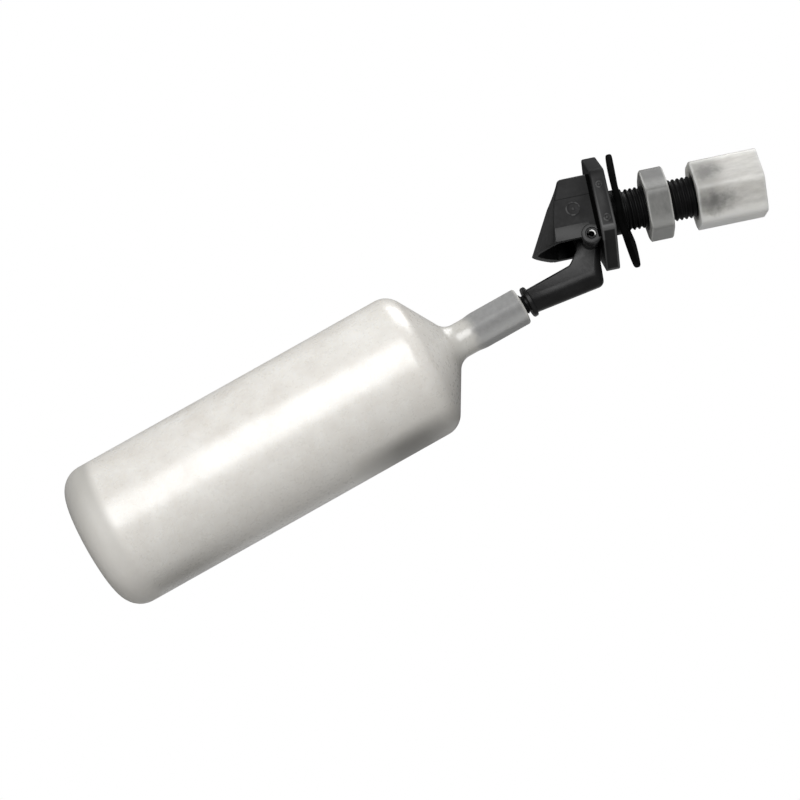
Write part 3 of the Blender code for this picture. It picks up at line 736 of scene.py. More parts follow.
def polyethylene(name, neck_mouth, outward, upward):
    """The float's waxy white polyethylene. Round the black stud the thin neck looks grey."""
    look = Finish(name, 0.3, 1.0)
    from_mouth = look.node("ShaderNodeVectorMath", operation="SUBTRACT")
    look.feed(from_mouth.inputs[0], look.place)
    from_mouth.inputs[1].default_value = neck_mouth

    def component(direction):
        made = look.node("ShaderNodeVectorMath", operation="DOT_PRODUCT")
        look.feed(made.inputs[0], from_mouth.outputs[0])
        made.inputs[1].default_value = direction
        return made.outputs["Value"]

    along, height = component(outward), component(upward)
    clouds = look.noise(110.0, 5.0, 0.7)
    mottle = look.noise(700.0, 4.0, 0.6)
    look.tone = look.mix(look.vary(clouds), (0.73, 0.70, 0.65), (0.86, 0.845, 0.805))
    shadow = look.times(look.scale(height, -14.5 * MM, -18.5 * MM, smooth=True),
                        within(look, along, 36.0 * MM, 50.0 * MM, 11.0 * MM))
    # Painted shade on the underside near the float's end, beside the painted shadow under its shoulder.
    painted_end_shade = look.times(look.scale(height, -14.5 * MM, -20.0 * MM, smooth=True),
                       within(look, along, 102.0 * MM, 119.0 * MM, 12.0 * MM))
    # Painted shade: the float is darker towards its underside.
    under = look.scale(height, -3.0 * MM, -14.0 * MM, 0.0, 0.6, smooth=True)
    look.cover(under, (0.64, 0.62, 0.58))
    look.cover(look.times(shadow, 0.97), (0.03, 0.027, 0.02))
    look.cover(look.times(painted_end_shade, 0.7), (0.16, 0.15, 0.125))
    # Painted shade on the end cap: darker at the top and paler at the bottom, so that it looks evenly grey.
    on_cap = look.scale(along, 117.5 * MM, 120.5 * MM, smooth=True)
    painted_cap_shading = look.mix(look.scale(height, -12.0 * MM, 16.0 * MM), (0.66, 0.64, 0.60), (0.43, 0.42, 0.39))
    look.cover(look.times(on_cap, 0.85), painted_cap_shading)
    ragged = look.plus(along, look.vary(clouds, -1.0 * MM, 1.0 * MM))
    over_stud = look.fall(ragged, 12.8 * MM, 16.2 * MM, smooth=True)
    past_rim = look.scale(along, 0.0, 0.9 * MM, 0.35, 1.0, smooth=True)
    on_neck = look.times(over_stud, past_rim)
    # Painted light: the neck's lower facets are painted paler.
    low_facet = look.scale(height, -1.0 * MM, -4.0 * MM, smooth=True)
    neck_tone = look.mix(look.vary(mottle), (0.215, 0.215, 0.213), (0.26, 0.26, 0.257))
    neck_tone = look.mix(low_facet, neck_tone, (0.36, 0.36, 0.355))
    near_neck = look.scale(along, 18.0 * MM, 30.0 * MM, 0.6, 0.0, smooth=True)
    look.cover(near_neck, (0.40, 0.395, 0.37))
    look.cover(on_neck, neck_tone)
    look.colour(look.tone)
    rough = look.vary(mottle, 0.25, 0.33)
    dull = look.most(look.most(over_stud, on_cap), shadow)
    look.roughness(look.blend(dull, rough, 0.6))
    look.translucent(0.2, 0.003, (1.0, 0.95, 0.85))
    return look.material


# --- body

def hood_outline(z, inset):
    """The line of the hood's nose at one height, and the half width there."""
    down = (HOOD_TOP - z) / (HOOD_TOP - HOOD_RIM)
    to_bend = min((HOOD_TOP - z) / (HOOD_TOP - HOOD_BEND), (z - HOOD_RIM) / (HOOD_BEND - HOOD_RIM))
    roof_front = HOOD_ROOF_FRONT - HOOD_BEND_REACH * to_bend
    side_front = roof_front + down * (HOOD_SIDE_FRONT - HOOD_ROOF_FRONT) + inset
    tip = roof_front + down * (HOOD_TIP - HOOD_ROOF_FRONT) + inset
    half = HOOD_HALF_WIDTH - inset
    shares = [1 - 2 * step / NOSE_STEPS for step in range(NOSE_STEPS + 1)]
    return [(tip + (side_front - tip) * abs(a) ** HOOD_BLUNTNESS, half * a) for a in shares], half


def hood_ring(z, inset, back, rounding):
    """The hood's plan at one height, with the corners between its sides and nose rounded."""
    nose, half = hood_outline(z, inset)
    corners = [(back, half), *nose, (back, -half)]

    def bend(index):
        here = Vector(corners[index])
        before = (Vector(corners[index - 1]) - here).normalized() * rounding
        after = (Vector(corners[index + 1]) - here).normalized() * rounding
        return [here + before * (1 - t) ** 2 + after * t ** 2 for t in (0.0, 0.25, 0.5, 0.75, 1.0)]

    ring = [corners[0], *bend(1), *corners[3:-3], *bend(len(corners) - 2), corners[-1]]
    return [(p[0], p[1], z) for p in ring]


def flange_ring(x, inset):
    corners = circle((FLANGE_ACROSS_FLATS - 2 * inset) / math.sqrt(3), 6, FLANGE_CORNER_ANGLE)
    rounding = FLANGE_CORNER_ROUNDING - inset / 2
    return [(x, y, z + FLANGE_LIFT) for y, z in subdivide(round_corners(corners, rounding, 6), 20 * MM)]


def flange_mesh():
    near = [(-FLANGE_THICKNESS + FLANGE_FILLET * (1 - math.sin(a)), FLANGE_FILLET * (1 - math.cos(a)))
            for a in reversed(quarter_turn(4))]
    far = [(-FLANGE_THICKNESS - x, inset) for x, inset in reversed(near)]
    return loft([flange_ring(x, inset) for x, inset in near + far])


def add_mark(body, centre, radius, side, face):
    """A plain raised ring with a pip in its middle, standing on a face that looks along Y."""
    low, high = side_span(side, face - MARK_ROOTING, face + RELIEF)
    place = Vector((centre[0], 0.0, centre[1]))
    ring = make_mesh("ring", drum_y(radius, low, high, MARK_EDGE, place, MARK_STEPS))
    cut(ring, drum_y(radius - MARK_LINE, low - MM, high + MM, MARK_EDGE, place, MARK_STEPS))
    bm = bmesh.new()
    bm.from_mesh(ring.data)
    bpy.data.objects.remove(ring, do_unlink=True)
    fuse(body, bm)
    fuse(body, drum_y(MARK_LINE, low, high, MARK_EDGE, place, 24))


def make_hood_and_flange(finish):
    back = -FLANGE_THICKNESS / 2
    levels = [(HOOD_RIM, 0.0), (HOOD_BEND, 0.0)]
    levels += [(HOOD_TOP - HOOD_TOP_FILLET * (1 - math.sin(a)), HOOD_TOP_FILLET * (1 - math.cos(a)))
               for a in quarter_turn(5)]
    body = make_mesh("hood_and_flange", loft([hood_ring(z, inset, back, HOOD_CORNER_ROUNDING)
                                              for z, inset in levels]))
    fuse(body, flange_mesh())
    boss_end = HOOD_HALF_WIDTH + BOSS_PROUD
    root = HOOD_HALF_WIDTH - HOOD_WALL
    for side in (-1, 1):
        band_top = HOOD_RIM + BAND_HEIGHT
        band = round_corners([(HOOD_SIDE_FRONT + 0.5 * MM, HOOD_RIM), (PIVOT.x, HOOD_RIM),
                              (PIVOT.x, band_top), (HOOD_SIDE_FRONT + 0.9 * MM, band_top)], 0.25 * MM, 3)
        fuse(body, prism_y(band, *side_span(side, root, HOOD_HALF_WIDTH + BAND_PROUD)))
        fuse(body, drum_y(BOSS_RADIUS, *side_span(side, root, boss_end), 0.3 * MM, PIVOT))
    pocket = [hood_ring(z, HOOD_WALL, -FLANGE_THICKNESS + 0.2 * MM, 0.5 * MM)
              for z in (-FLANGE_ACROSS_FLATS, HOOD_BEND, HOOD_TOP - HOOD_WALL)]
    cut(body, loft(pocket))
    outer = HOOD_HALF_WIDTH + 3 * MM
    face = -FLANGE_THICKNESS
    panel = rectangle(HOOD_TIP, face, HOOD_RIM + BAND_HEIGHT + 0.1 * MM, PANEL_TOP)
    groove = rectangle(face - GROOVE_WIDTH, face, HOOD_RIM - MM, HOOD_TOP + MM)
    for side in (-1, 1):
        for outline, depth in ((panel, PANEL_DEPTH), (groove, GROOVE_DEPTH)):
            cut(body, prism_y(outline, *side_span(side, HOOD_HALF_WIDTH - depth, outer)))
        add_mark(body, *HOOD_MARK, side, HOOD_HALF_WIDTH - PANEL_DEPTH)
        for centre, radius in FLANGE_MARKS:
            face = FLANGE_ACROSS_FLATS / 2 + side * math.cos(FLANGE_CORNER_ANGLE) * (centre[1] - FLANGE_LIFT)
            add_mark(body, centre, radius, side, face)
    soften(body)
    reach = boss_end + CUTTER_REACH
    cut(body, drum_y(PIN_RADIUS + 0.05 * MM, -reach, reach, 0.1 * MM, PIVOT))
    for side in (-1, 1):
        cut(body, drum_y(BOSS_MOUTH, *side_span(side, boss_end - PIN_RECESS, reach), 0.1 * MM, PIVOT))
    body.data.set_sharp_from_angle(angle=SHARP_ANGLE)
    dress(body, finish, "housing", "black_plastic", "valve_body")


def make_stem(finish):
    """Shoulder, helical thread, tube socket and feed bore, as one closed turning."""
    stem_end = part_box("valve_body")[1].x
    thread_end = stem_end - 0.1 * MM
    bm = bmesh.new()
    root = STEM_THREAD["root"]
    inside = -FLANGE_THICKNESS / 2
    before = [(inside, FEED_BORE), (inside, SHOULDER_RADIUS), (SHOULDER_END - 0.3 * MM, SHOULDER_RADIUS),
              (SHOULDER_END, SHOULDER_RADIUS - 0.3 * MM), (SHOULDER_END, root), (THREAD_START, root)]
    socket = stem_end - TUBE_SOCKET_DEPTH
    cone = stem_end - SEAT_CONE_DEPTH
    after = [(thread_end, root), (stem_end, root - 0.1 * MM), (stem_end, SEAT_CONE), (cone, TUBE_SOCKET),
             (socket, TUBE_SOCKET), (socket, FEED_BORE), (inside, FEED_BORE)]
    add_rings(bm, x_rings(before))
    add_thread(bm, THREAD_START, thread_end, STEM_THREAD)
    add_rings(bm, x_rings(after))
    weld(bm)
    stem = make_mesh("threaded_stem", bm, THREAD_SHARP_ANGLE)
    dress(stem, finish, "housing", "black_plastic")


def make_orifice(finish):
    lip, end = x_span("orifice_insert")
    shoulder = lip + 4.5 * MM
    profile = round_corners([(lip, 1.0 * MM), (lip, 1.45 * MM), (lip + 0.5 * MM, 1.65 * MM),
                             (shoulder, 1.65 * MM), (shoulder, 2.45 * MM), (end, 2.45 * MM), (end, 1.7 * MM),
                             (shoulder + 0.5 * MM, 1.7 * MM), (shoulder - 0.3 * MM, 1.0 * MM)], 0.08 * MM, 3)
    nozzle = make_mesh("orifice_nozzle", turned(profile, ROUND_STEPS))
    dress(nozzle, finish, "housing", "nozzle_acetal", "orifice_insert")


def make_pin(finish):
    """A rolled pin: a steel sheet bent round, its slot towards the nose, with its ends chamfered."""
    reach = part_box("pivot_pin")[1].y
    inner = PIN_RADIUS - PIN_WALL
    slot_top, slot_foot = math.pi + PIN_HALF_SLOT, 3 * math.pi - PIN_HALF_SLOT
    rings = []
    ends = [(reach, 0.16 * MM), (reach - 0.22 * MM, 0.0)]
    for y, chamfer in [(-y, c) for y, c in ends] + ends[::-1]:
        outline = arc((0, 0), PIN_RADIUS - chamfer, slot_top, slot_foot, 48)
        outline += arc((0, 0), inner, slot_foot, slot_top, 48)
        rings.append([(PIVOT.x + u, y, PIVOT.z + v) for u, v in outline])
    dress(make_mesh("rolled_pin", loft(rings)), finish, "housing", "pin_steel", "pivot_pin")


def make_liner(finish):
    start, end = x_span("tube_insert")
    profile = round_corners([(start, 1.5 * MM), (start, 3.1 * MM), (start + 0.9 * MM, 3.1 * MM),
                             (start + 0.9 * MM, 2.1 * MM), (end - 0.5 * MM, 2.1 * MM), (end, 1.85 * MM),
                             (end, 1.5 * MM)], 0.1 * MM, 3)
    liner = make_mesh("tube_liner", turned(profile, ROUND_STEPS))
    dress(liner, finish, "housing", "liner_acetal", "tube_insert")


# --- lever

def arm_outlines():
    """The arm with the valve shut: its outer outline, and the smaller one that bounds its flat sides."""
    top = -AXIS_DROP + 2.75 * MM
    cup_top = -PIVOT.z
    corners = [  # outer corner, its rounding, inner corner, its rounding
        ((1.6 * MM, -1.2 * MM), 0.8 * MM, (0.8 * MM, -1.2 * MM), 0.4 * MM),
        ((1.6 * MM, 1.0 * MM), 0.8 * MM, (0.8 * MM, 0.8 * MM), 0.3 * MM),
        ((CUP_MOUTH - 0.3 * MM, cup_top), 0.5 * MM, (CUP_MOUTH - 0.7 * MM, cup_top - 0.4 * MM), 0.3 * MM),
        ((CUP_BACK, cup_top), 0.5 * MM, (CUP_BACK + 0.4 * MM, cup_top - 0.4 * MM), 0.3 * MM),
        ((CUP_BACK - 0.6 * MM, 2.0 * MM), 2.0 * MM, (CUP_BACK + 0.1 * MM, 1.9 * MM), 1.5 * MM),
        ((-4.4 * MM, -0.3 * MM), 1.5 * MM, (-4.2 * MM, -0.5 * MM), 1.3 * MM),
        ((-7.8 * MM, top), 2.2 * MM, (-7.6 * MM, top - 0.55 * MM), 2.2 * MM),
        ((-BAR_END, top), 1.2 * MM, (-BAR_END + MM, top - 0.7 * MM), 0.3 * MM),
        ((-BAR_END, top - 5.55 * MM), 3.0 * MM, (-BAR_END + MM, top - 2.0 * MM), 0.3 * MM),
        ((-14.0 * MM, top - 7.17 * MM), 9.0 * MM, (-14.0 * MM, top - 3.2 * MM), 6.0 * MM),
        ((-2.1 * MM, top - 8.75 * MM), 1.9 * MM, (-3.3 * MM, top - 4.5 * MM), 1.0 * MM),
    ]
    outer, outer_radii, inner, inner_radii = (list(column) for column in zip(*corners))
    return round_corners(outer, outer_radii, 7), round_corners(inner, inner_radii, 7)


def make_arm(finish):
    outer, inner = arm_outlines()
    turns = quarter_turn(ARM_ROUNDING_STEPS)
    rings = []
    for side in (-1, 1):
        for angle in turns[::side]:
            ring = []
            for edge, flat in zip(outer, inner):
                inset = Vector(flat) - Vector(edge)
                spot = Vector(edge) + inset * (1 - math.cos(angle))
                depth = min(inset.length, ARM_HALF_WIDTH)
                ring.append((spot.x, side * (ARM_HALF_WIDTH - depth * (1 - math.sin(angle))), spot.y))
            rings.append(ring)
    bm = loft(rings)
    caps = [f for f in bm.faces if len(f.verts) > 4]
    bmesh.ops.inset_region(bm, faces=caps, thickness=0.06 * MM, use_even_offset=True)
    arm = make_mesh("lever_moulding", bm)
    past_collar = [(-COLLAR_DISTANCE, -BAR_END), (-2 * BAR_END, -BAR_END), (-2 * BAR_END, BAR_END),
                   (-COLLAR_DISTANCE, BAR_END)]
    cut(arm, prism_y(past_collar, -BAR_END, BAR_END))
    origin = Vector(grey(0.0))
    fuse(arm, drum_y(HUB_RADIUS, -HUB_REACH, HUB_REACH, 0.2 * MM, origin))
    stem_height = -PIVOT.z
    cup = [(CUP_BACK, CUP_RADIUS - 0.7 * MM), (CUP_BACK + 0.1 * MM, CUP_RADIUS - 0.5 * MM),
           (CUP_BACK + 0.6 * MM, CUP_RADIUS), (CUP_MOUTH - 0.2 * MM, CUP_RADIUS),
           (CUP_MOUTH, CUP_RADIUS - 0.2 * MM)]
    fuse(arm, loft(x_rings(cup, ROUND_STEPS, stem_height)))
    half = COLLAR_THICKNESS / 2
    edge = 0.25 * MM
    side = [(-half, COLLAR_RADIUS - 0.6 * MM), (-half, COLLAR_RADIUS - edge), (-half + edge, COLLAR_RADIUS)]
    side += [(-x, r) for x, r in reversed(side)]
    collar = [(-COLLAR_DISTANCE + x, r) for x, r in side]
    fuse(arm, loft(x_rings(collar, ROUND_STEPS, -AXIS_DROP)))
    soften(arm)
    reach = HUB_REACH + CUTTER_REACH
    cut(arm, drum_y(PIN_RADIUS + 0.06 * MM, -reach, reach, 0.1 * MM, origin))
    pocket = SEAL_RADIUS + 0.3 * MM
    depth = CUP_MOUTH - 1.8 * MM
    cut(arm, loft(x_rings([(depth, pocket), (CUP_MOUTH + CUTTER_REACH, pocket)], ROUND_STEPS, stem_height)))
    arm.data.set_sharp_from_angle(angle=SHARP_ANGLE)
    open_lever(arm)
    dress(arm, finish, "float_lever", "arm_plastic", "lever_arm")


def make_stud(finish):
    """The threaded stud that the float's neck screws onto."""
    bm = bmesh.new()
    root = STUD_THREAD["root"]
    add_rings(bm, x_rings([(0.0, root), (STUD_THREAD_START, root)]), cap_start=True)
    add_thread(bm, STUD_THREAD_START, STUD_LENGTH, STUD_THREAD)
    add_rings(bm, x_rings([(STUD_LENGTH, root), (STUD_LENGTH + 0.3 * MM, root - 0.3 * MM)]), cap_end=True)
    weld(bm)
    stud = make_mesh("threaded_stud", bm, THREAD_SHARP_ANGLE)
    on_collar = Matrix.Translation((-COLLAR_DISTANCE, 0.0, -AXIS_DROP))
    stud.data.transform(on_collar @ Matrix.Rotation(math.pi, 4, "Z"))
    open_lever(stud)
    dress(stud, finish, "float_lever", "arm_plastic")


def make_seal(finish):
    back = SEAL_FACE - SEAL_THICKNESS
    edge = 0.3 * MM
    corners = [(back, 0.4 * MM), (back, SEAL_RADIUS), (SEAL_FACE, SEAL_RADIUS), (SEAL_FACE, 0.4 * MM)]
    profile = rounded_run(corners, [edge, edge], 4)
    seal = make_mesh("seal_disc_rubber", loft(x_rings(profile, ROUND_STEPS, -PIVOT.z)))
    open_lever(seal)
    dress(seal, finish, "float_lever", "seal_rubber", "seal_disc")


# --- float

def hexagon_radius(angle, apothem, corner_angle, rounding):
    """Distance from the axis to a hexagon with softened corners, in one direction."""
    sixth = math.pi / 3
    turn = (angle - corner_angle) % sixth - sixth / 2
    corner = apothem / math.cos(sixth / 2)
    return soft_min(apothem / math.cos(turn), corner - rounding, rounding)


def sector_angles(corner_angle):
    """Directions round an axis, closest together at a hexagon's corners."""
    near_corner = [0.0, 0.9, 2.0, 3.4, 5.2, 7.5, 10.5, 14.5, 19.0, 24.0]
    offsets = [-d for d in near_corner[:0:-1]] + near_corner + [30.0]
    return [corner_angle + math.radians(60 * k + offset) for k in range(6) for offset in offsets]


def float_profile():
    """The float's side from where its neck turns round to the middle of its flat end."""
    cone_top = NECK_LENGTH + FLOAT_SHOULDER_RUN
    corners = [(NECK_ROUND_FROM, NECK_BASE_RADIUS), (NECK_LENGTH, NECK_BASE_RADIUS), (cone_top, FLOAT_RADIUS),
               (FLOAT_LENGTH, FLOAT_RADIUS), (FLOAT_LENGTH, 0.5 * MM)]
    return rounded_run(corners, [NECK_FILLET, FLOAT_SHOULDER_RADIUS, FLOAT_END_RADIUS], 14)


def make_float(finish):
    angles = sector_angles(-NECK_CORNER_ANGLE)
    apothem = NECK_ACROSS_FLATS / 2
    corner = corner_radius(apothem)
    mouth = NECK_THREAD["root"]

    def place(along, radius, angle):
        y = radius * math.cos(angle)
        seam = PARTING_HEIGHT * math.exp(-((y / PARTING_WIDTH) ** 2))
        if along > NECK_ROUND_FROM:
            over_end = smoothstep(FLOAT_LENGTH - 0.5 * MM, FLOAT_LENGTH, along)
            radius += seam * (1 - over_end) * smoothstep(NECK_ROUND_FROM, NECK_LENGTH, along)
            along += seam * over_end
        return (-COLLAR_DISTANCE - NECK_START - along, radius * math.cos(angle),
                -AXIS_DROP + radius * math.sin(angle))

    rings = []
    for along in (0.0, 0.1, 0.25, 0.4, 0.6, 0.85, 1.2, 3.0, 6.0, 9.0, 12.0, 13.0, 14.0, 15.0, 16.0):
        along *= MM
        limit = corner - 0.75 * MM + along * 1.1
        to_round = smoothstep(NECK_HEXAGON_TO, NECK_ROUND_FROM, along)
        ring = []
        for angle in angles:
            radius = soft_min(hexagon_radius(angle, apothem, -NECK_CORNER_ANGLE, 0.35 * MM), limit, 0.2 * MM)
            ring.append(place(along, radius * (1 - to_round) + NECK_BASE_RADIUS * to_round, angle))
        rings.append(ring)
    profile = float_profile()[1:]
    body = [(a, r) for a, r in profile if r > FLOAT_RADIUS - 0.01 * MM]
    stretch = max((b[0] - a[0], a, b) for a, b in zip(body, body[1:]))
    start, end = stretch[1][0], stretch[2][0]
    between = [(start + (end - start) * k / FLOAT_SIDE_RINGS, FLOAT_RADIUS)
               for k in range(1, FLOAT_SIDE_RINGS)]
    split = profile.index(stretch[1]) + 1
    profile = profile[:split] + between + profile[split:-1]
    rim = FLOAT_RADIUS - FLOAT_END_RADIUS
    profile += [(FLOAT_LENGTH, rim * (1 - k / FLOAT_END_RINGS)) for k in range(1, FLOAT_END_RINGS)]
    rings += [[place(along, radius, angle) for angle in angles] for along, radius in profile]
    bore = [[place(along, radius, angle) for angle in angles] for along, radius in
            [(16.5 * MM, 0.6 * MM), (16.5 * MM, mouth - 0.4 * MM), (16.0 * MM, mouth), (0.5 * MM, mouth),
             (0.1 * MM, mouth + 0.3 * MM), (0.0, mouth + 0.5 * MM)]]
    bm = bmesh.new()
    add_rings(bm, bore + rings, cap_start=True, cap_end=True)
    shell = make_mesh("float_moulding", bm)
    open_lever(shell)
    dress(shell, finish, "float_lever", "float_polyethylene", "float_shell")


# --- washer and nuts

def make_washer(finish):
    """A rubber ring with soft rims. It is bent away from the flange, and twisted below its middle."""
    half = WASHER_THICKNESS / 2
    rim, hole = WASHER_RADIUS, WASHER_HOLE_RADIUS
    profile = round_corners([(-half, hole), (-half, rim), (half, rim), (half, hole)],
                            [0.2 * MM, 0.6 * MM, 0.6 * MM, 0.2 * MM], 5)
    washer = make_mesh("rubber_washer", turned(subdivide(profile, 1.5 * MM), 120), math.radians(60))
    for vert in washer.data.vertices:
        x, y, z = vert.co
        bend = math.hypot(z - WASHER_BEND_HEIGHT, WASHER_BEND_SOFTNESS) - WASHER_BEND_SOFTNESS
        wave = math.sin(2 * math.atan2(z, y) + 0.6) * WASHER_WAVE * (vert.co.yz.length / rim) ** 2
        turn = WASHER_TURN + WASHER_TWIST * smoothstep(-WASHER_TWIST_FROM, -WASHER_TWIST_TO, -z)
        vert.co = Matrix.Rotation(turn, 3, "Z") @ Vector((x, y, z))
        vert.co.x += WASHER_X + WASHER_BEND * bend + WASHER_BEND_OFFSET + wave
    dress(washer, finish, "loose_washer", "black_rubber", "mounting_washer")


def hexagon_skin(bm, low, high, apothem, corner_angle, rounding, end_radii):
    """A nut's six sides, its corners turned off at both ends. Its end planes are left open."""
    angles = sector_angles(corner_angle)
    steps = [0.0, 0.03, 0.07, 0.12, 0.2, 0.3, 0.42, 0.56, 0.72, 0.9, 1.15, 1.5]
    slope = 1 / math.tan(math.radians(30))
    fillet = 0.15 * MM
    rows = [(low + step * MM, step * MM, end_radii[0]) for step in steps]
    middle = (low + high) / 2
    rows.append((middle, middle - low, end_radii[0]))
    rows += [(high - step * MM, step * MM, end_radii[1]) for step in reversed(steps)]
    rings = []
    for x, from_end, end_radius in rows:
        early = 1 - min(from_end, fillet) / fillet
        inset = fillet * (1 - math.sqrt(max(0.0, 1 - early * early)))
        limit = end_radius + from_end * slope - inset
        ring = []
        for angle in angles:
            side = hexagon_radius(angle, apothem, corner_angle, rounding) - inset
            radius = soft_min(side, limit, 0.18 * MM)
            ring.append((x, radius * math.cos(angle), radius * math.sin(angle)))
        rings.append(ring)
    add_rings(bm, rings)


def close_ends(bm, low, high):
    """Join the outer and inner rims that lie in each end plane, walking round both by angle."""
    def angle(vert):
        return math.atan2(vert.co.z, vert.co.y)

    def radius(vert):
        return math.hypot(vert.co.y, vert.co.z)

    def reached(rim, step):
        """The angle of a rim's step-th point, counting on past a full turn."""
        return angle(rim[step % len(rim)]) + 2 * math.pi * (step // len(rim))

    for x in (low, high):
        rims = sorted((v for v in bm.verts if v.is_boundary and abs(v.co.x - x) < 10 * WELD), key=angle)
        between = (min(map(radius, rims)) + max(map(radius, rims))) / 2
        outer = [v for v in rims if radius(v) > between]
        inner = [v for v in rims if radius(v) < between]
        i = j = 0
        while i < len(outer) or j < len(inner):
            here, there = outer[i % len(outer)], inner[j % len(inner)]
            along_outer = i < len(outer) and reached(outer, i + 1) <= reached(inner, j + 1)
            if along_outer or j == len(inner):
                i += 1
                bm.faces.new((here, outer[i % len(outer)], there))
            else:
                j += 1
                bm.faces.new((here, inner[j % len(inner)], there))


def make_nut(name, finish, node, body, slot, shape, thread_end, beyond):
    """A hexagon nut with a thread in its bore. Past the thread the bore follows (x, radius) points."""
    apothem, corner_angle, rounding, end_turnings = shape
    low, high = x_span(node)
    bm = bmesh.new()
    corner = corner_radius(apothem)
    end_radii = [corner - turning for turning in end_turnings]
    hexagon_skin(bm, low, high, apothem, corner_angle, rounding, end_radii)
    root = NUT_THREAD["root"]
    add_rings(bm, x_rings([(low, root + NUT_MOUTH), (low + NUT_MOUTH, root)]))
    add_thread(bm, low + NUT_MOUTH, thread_end, NUT_THREAD)
    add_rings(bm, x_rings([(thread_end, root)] + beyond))
    weld(bm)
    close_ends(bm, low, high)
    dress(make_mesh(name, bm, math.radians(40)), finish, body, slot, node)


def make_bulkhead_nut(finish):
    _, high = x_span("bulkhead_nut")
    shape = BULKHEAD_NUT_APOTHEM, BULKHEAD_NUT_CORNER, 0.35 * MM, (1.0 * MM, 0.9 * MM)
    make_nut("wall_nut_nylon", finish, "bulkhead_nut", "wall_nut", "grey_nylon", shape,
             high - NUT_MOUTH, [(high, NUT_THREAD["root"] + NUT_MOUTH)])


def make_compression_nut(finish):
    low, high = x_span("compression_nut")
    shape = COMPRESSION_NUT_APOTHEM, COMPRESSION_NUT_CORNER, 0.4 * MM, (0.8 * MM, 0.45 * MM)
    thread_end = low + 10.2 * MM
    beyond = [(thread_end + 0.3 * MM, 4.8 * MM), (high - 3.2 * MM, 4.7 * MM), (high - 1.6 * MM, TUBE_SOCKET),
              (high - 0.35 * MM, TUBE_SOCKET), (high, TUBE_SOCKET + 0.35 * MM)]
    make_nut("tube_nut_polypropylene", finish, "compression_nut", "tube_nut", "natural_polypropylene", shape,
             thread_end, beyond)


def make_sleeve(finish):
    low, high = x_span("compression_sleeve")
    taper = 1.4 * MM
    outline = [(low, TUBE_SOCKET), (low, 3.75 * MM), (low + taper, 4.35 * MM), (high - taper, 4.35 * MM),
               (high, 3.75 * MM), (high, TUBE_SOCKET)]
    sleeve = make_mesh("grip_sleeve", turned(round_corners(outline, 0.12 * MM, 4), 72))
    dress(sleeve, finish, "tube_sleeve", "white_acetal", "compression_sleeve")


# --- stage

CAMERA = {"lens": 85.0, "azimuth": -1.5, "elevation": -9.0, "roll": 11.4, "distance": 0.495}
CAMERA_AIM = Vector((-0.06367, 0.0, -0.03749))
LIGHT_AIM = Vector((-0.06, 0.0, -0.03))
AMBIENT_LIGHT = 0.2
FLOOR_Z = -0.60
FLOOR_RADIUS = 0.9


def make_camera():
    azimuth, elevation, roll = (math.radians(CAMERA[key]) for key in ("azimuth", "elevation", "roll"))
    ahead = Vector((math.sin(azimuth) * math.cos(elevation), math.cos(azimuth) * math.cos(elevation),
                    -math.sin(elevation)))
    right = Vector((math.cos(azimuth), -math.sin(azimuth), 0.0))
    turn = Matrix((right, right.cross(ahead), -ahead)).transposed()
    turn = Matrix.Rotation(roll, 3, ahead) @ turn
    camera = bpy.data.cameras.new("camera")
    camera.lens = CAMERA["lens"]
    camera.sensor_width = 36.0
    holder = bpy.data.objects.new("camera", camera)
    bpy.context.scene.collection.objects.link(holder)
    holder.matrix_world = Matrix.Translation(CAMERA_AIM - ahead * CAMERA["distance"]) @ turn.to_4x4()
    bpy.context.scene.camera = holder


def add_light(name, offset, width, height, energy):
    """A rectangular soft light, placed from the object's middle and facing it."""
    lamp = bpy.data.lights.new(name, "AREA")
    lamp.shape = "RECTANGLE"
    lamp.size = width
    lamp.size_y = height
    lamp.energy = energy
    holder = bpy.data.objects.new(name, lamp)
    bpy.context.scene.collection.objects.link(holder)
    holder.location = LIGHT_AIM + Vector(offset)
    holder.visible_camera = False
    holder.rotation_euler = (-Vector(offset)).to_track_quat("-Z", "Y").to_euler()


def make_world(ambient):
    """A white surround that lights the object less than it shows."""
    world = bpy.data.worlds.new("studio")
    bpy.context.scene.world = world
    world.use_nodes = True
    nodes, links = world.node_tree.nodes, world.node_tree.links
    shown = nodes["Background"]
    shown.inputs["Color"].default_value = (1.0, 1.0, 1.0, 1.0)
    lit = nodes.new("ShaderNodeBackground")
    lit.inputs["Strength"].default_value = ambient
    choose = nodes.new("ShaderNodeMixShader")
    path = nodes.new("ShaderNodeLightPath")
    links.new(path.outputs["Is Camera Ray"], choose.inputs[0])
    links.new(lit.outputs[0], choose.inputs[1])
    links.new(shown.outputs[0], choose.inputs[2])
    links.new(choose.outputs[0], nodes["World Output"].inputs["Surface"])


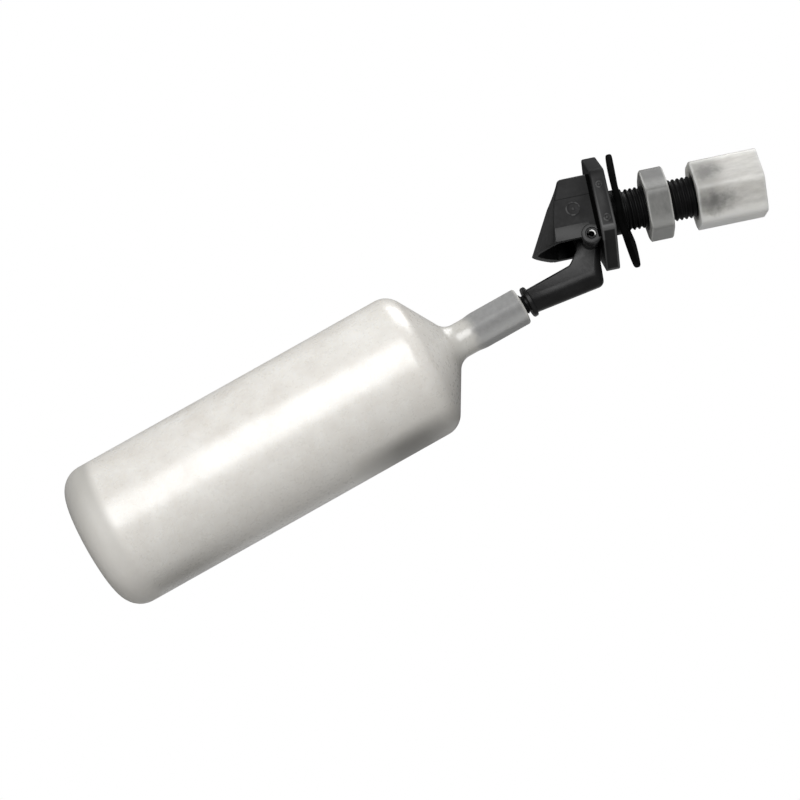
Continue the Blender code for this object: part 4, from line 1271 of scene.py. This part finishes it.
def make_floor():
    """A pale round floor, well below the valve as it hangs from a wall."""
    bm = bmesh.new()
    rings = [[(r * math.cos(a), r * math.sin(a), FLOOR_Z) for a in (2 * math.pi * k / 96 for k in range(96))]
             for r in (0.3, 0.6, FLOOR_RADIUS)]
    add_rings(bm, rings, cap_start=True)
    floor = make_mesh("floor", bm)
    finish = Finish("pale_floor", 0.85, 0.2)
    finish.colour(finish.mix(finish.noise(3.0), (0.60, 0.60, 0.595), (0.64, 0.64, 0.635)))
    floor.data.materials.append(finish.material)


def main():
    make_hood_and_flange(hood_plastic("hood_black_plastic"))
    make_stem(black_plastic("stem_black_plastic", 0.12, 0.5, 0.005).material)
    make_orifice(acetal("nozzle_acetal", (0.74, 0.72, 0.66), 0.34))
    make_pin(steel("pin_stainless"))
    make_liner(acetal("liner_acetal", (0.78, 0.78, 0.76), 0.36))
    arm_finish = arm_plastic("arm_black_plastic")
    make_arm(arm_finish)
    make_stud(arm_finish)
    make_seal(rubber("seal_rubber", (0.016, 0.016, 0.017), 0.12))
    turn = OPENED.to_3x3()
    neck_end = PIVOT + turn @ Vector((-COLLAR_DISTANCE - NECK_START, 0.0, -AXIS_DROP))
    outward, upward = turn @ Vector((-1.0, 0.0, 0.0)), turn @ Vector((0.0, 0.0, 1.0))
    make_float(polyethylene("waxy_polyethylene", neck_end, outward, upward))
    make_washer(rubber("washer_rubber", grey(0.0015), 0.02))
    low, high = x_span("bulkhead_nut")
    make_bulkhead_nut(grey_nylon("grey_nylon_nut", low, high))
    low, high = x_span("compression_nut")
    stem_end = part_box("valve_body")[1].x
    make_compression_nut(natural_polypropylene("natural_polypropylene_nut", low, high, stem_end))
    make_sleeve(acetal("sleeve_acetal", (0.80, 0.79, 0.75), 0.36))

    make_floor()
    make_world(AMBIENT_LIGHT)
    add_light("key", (-0.03, -0.83, 0.205), 0.68, 0.66, 6.8)
    add_light("overhead", (0.28, 0.1, 0.78), 0.6, 0.6, 4.2)
    add_light("low_back", (0.0, 0.8, -0.42), 0.9, 0.6, 0.9)
    add_light("left_back", (-0.7, 0.55, 0.4), 0.5, 0.5, 0.8)
    make_camera()
    bpy.context.scene.view_settings.view_transform = "Standard"


main()
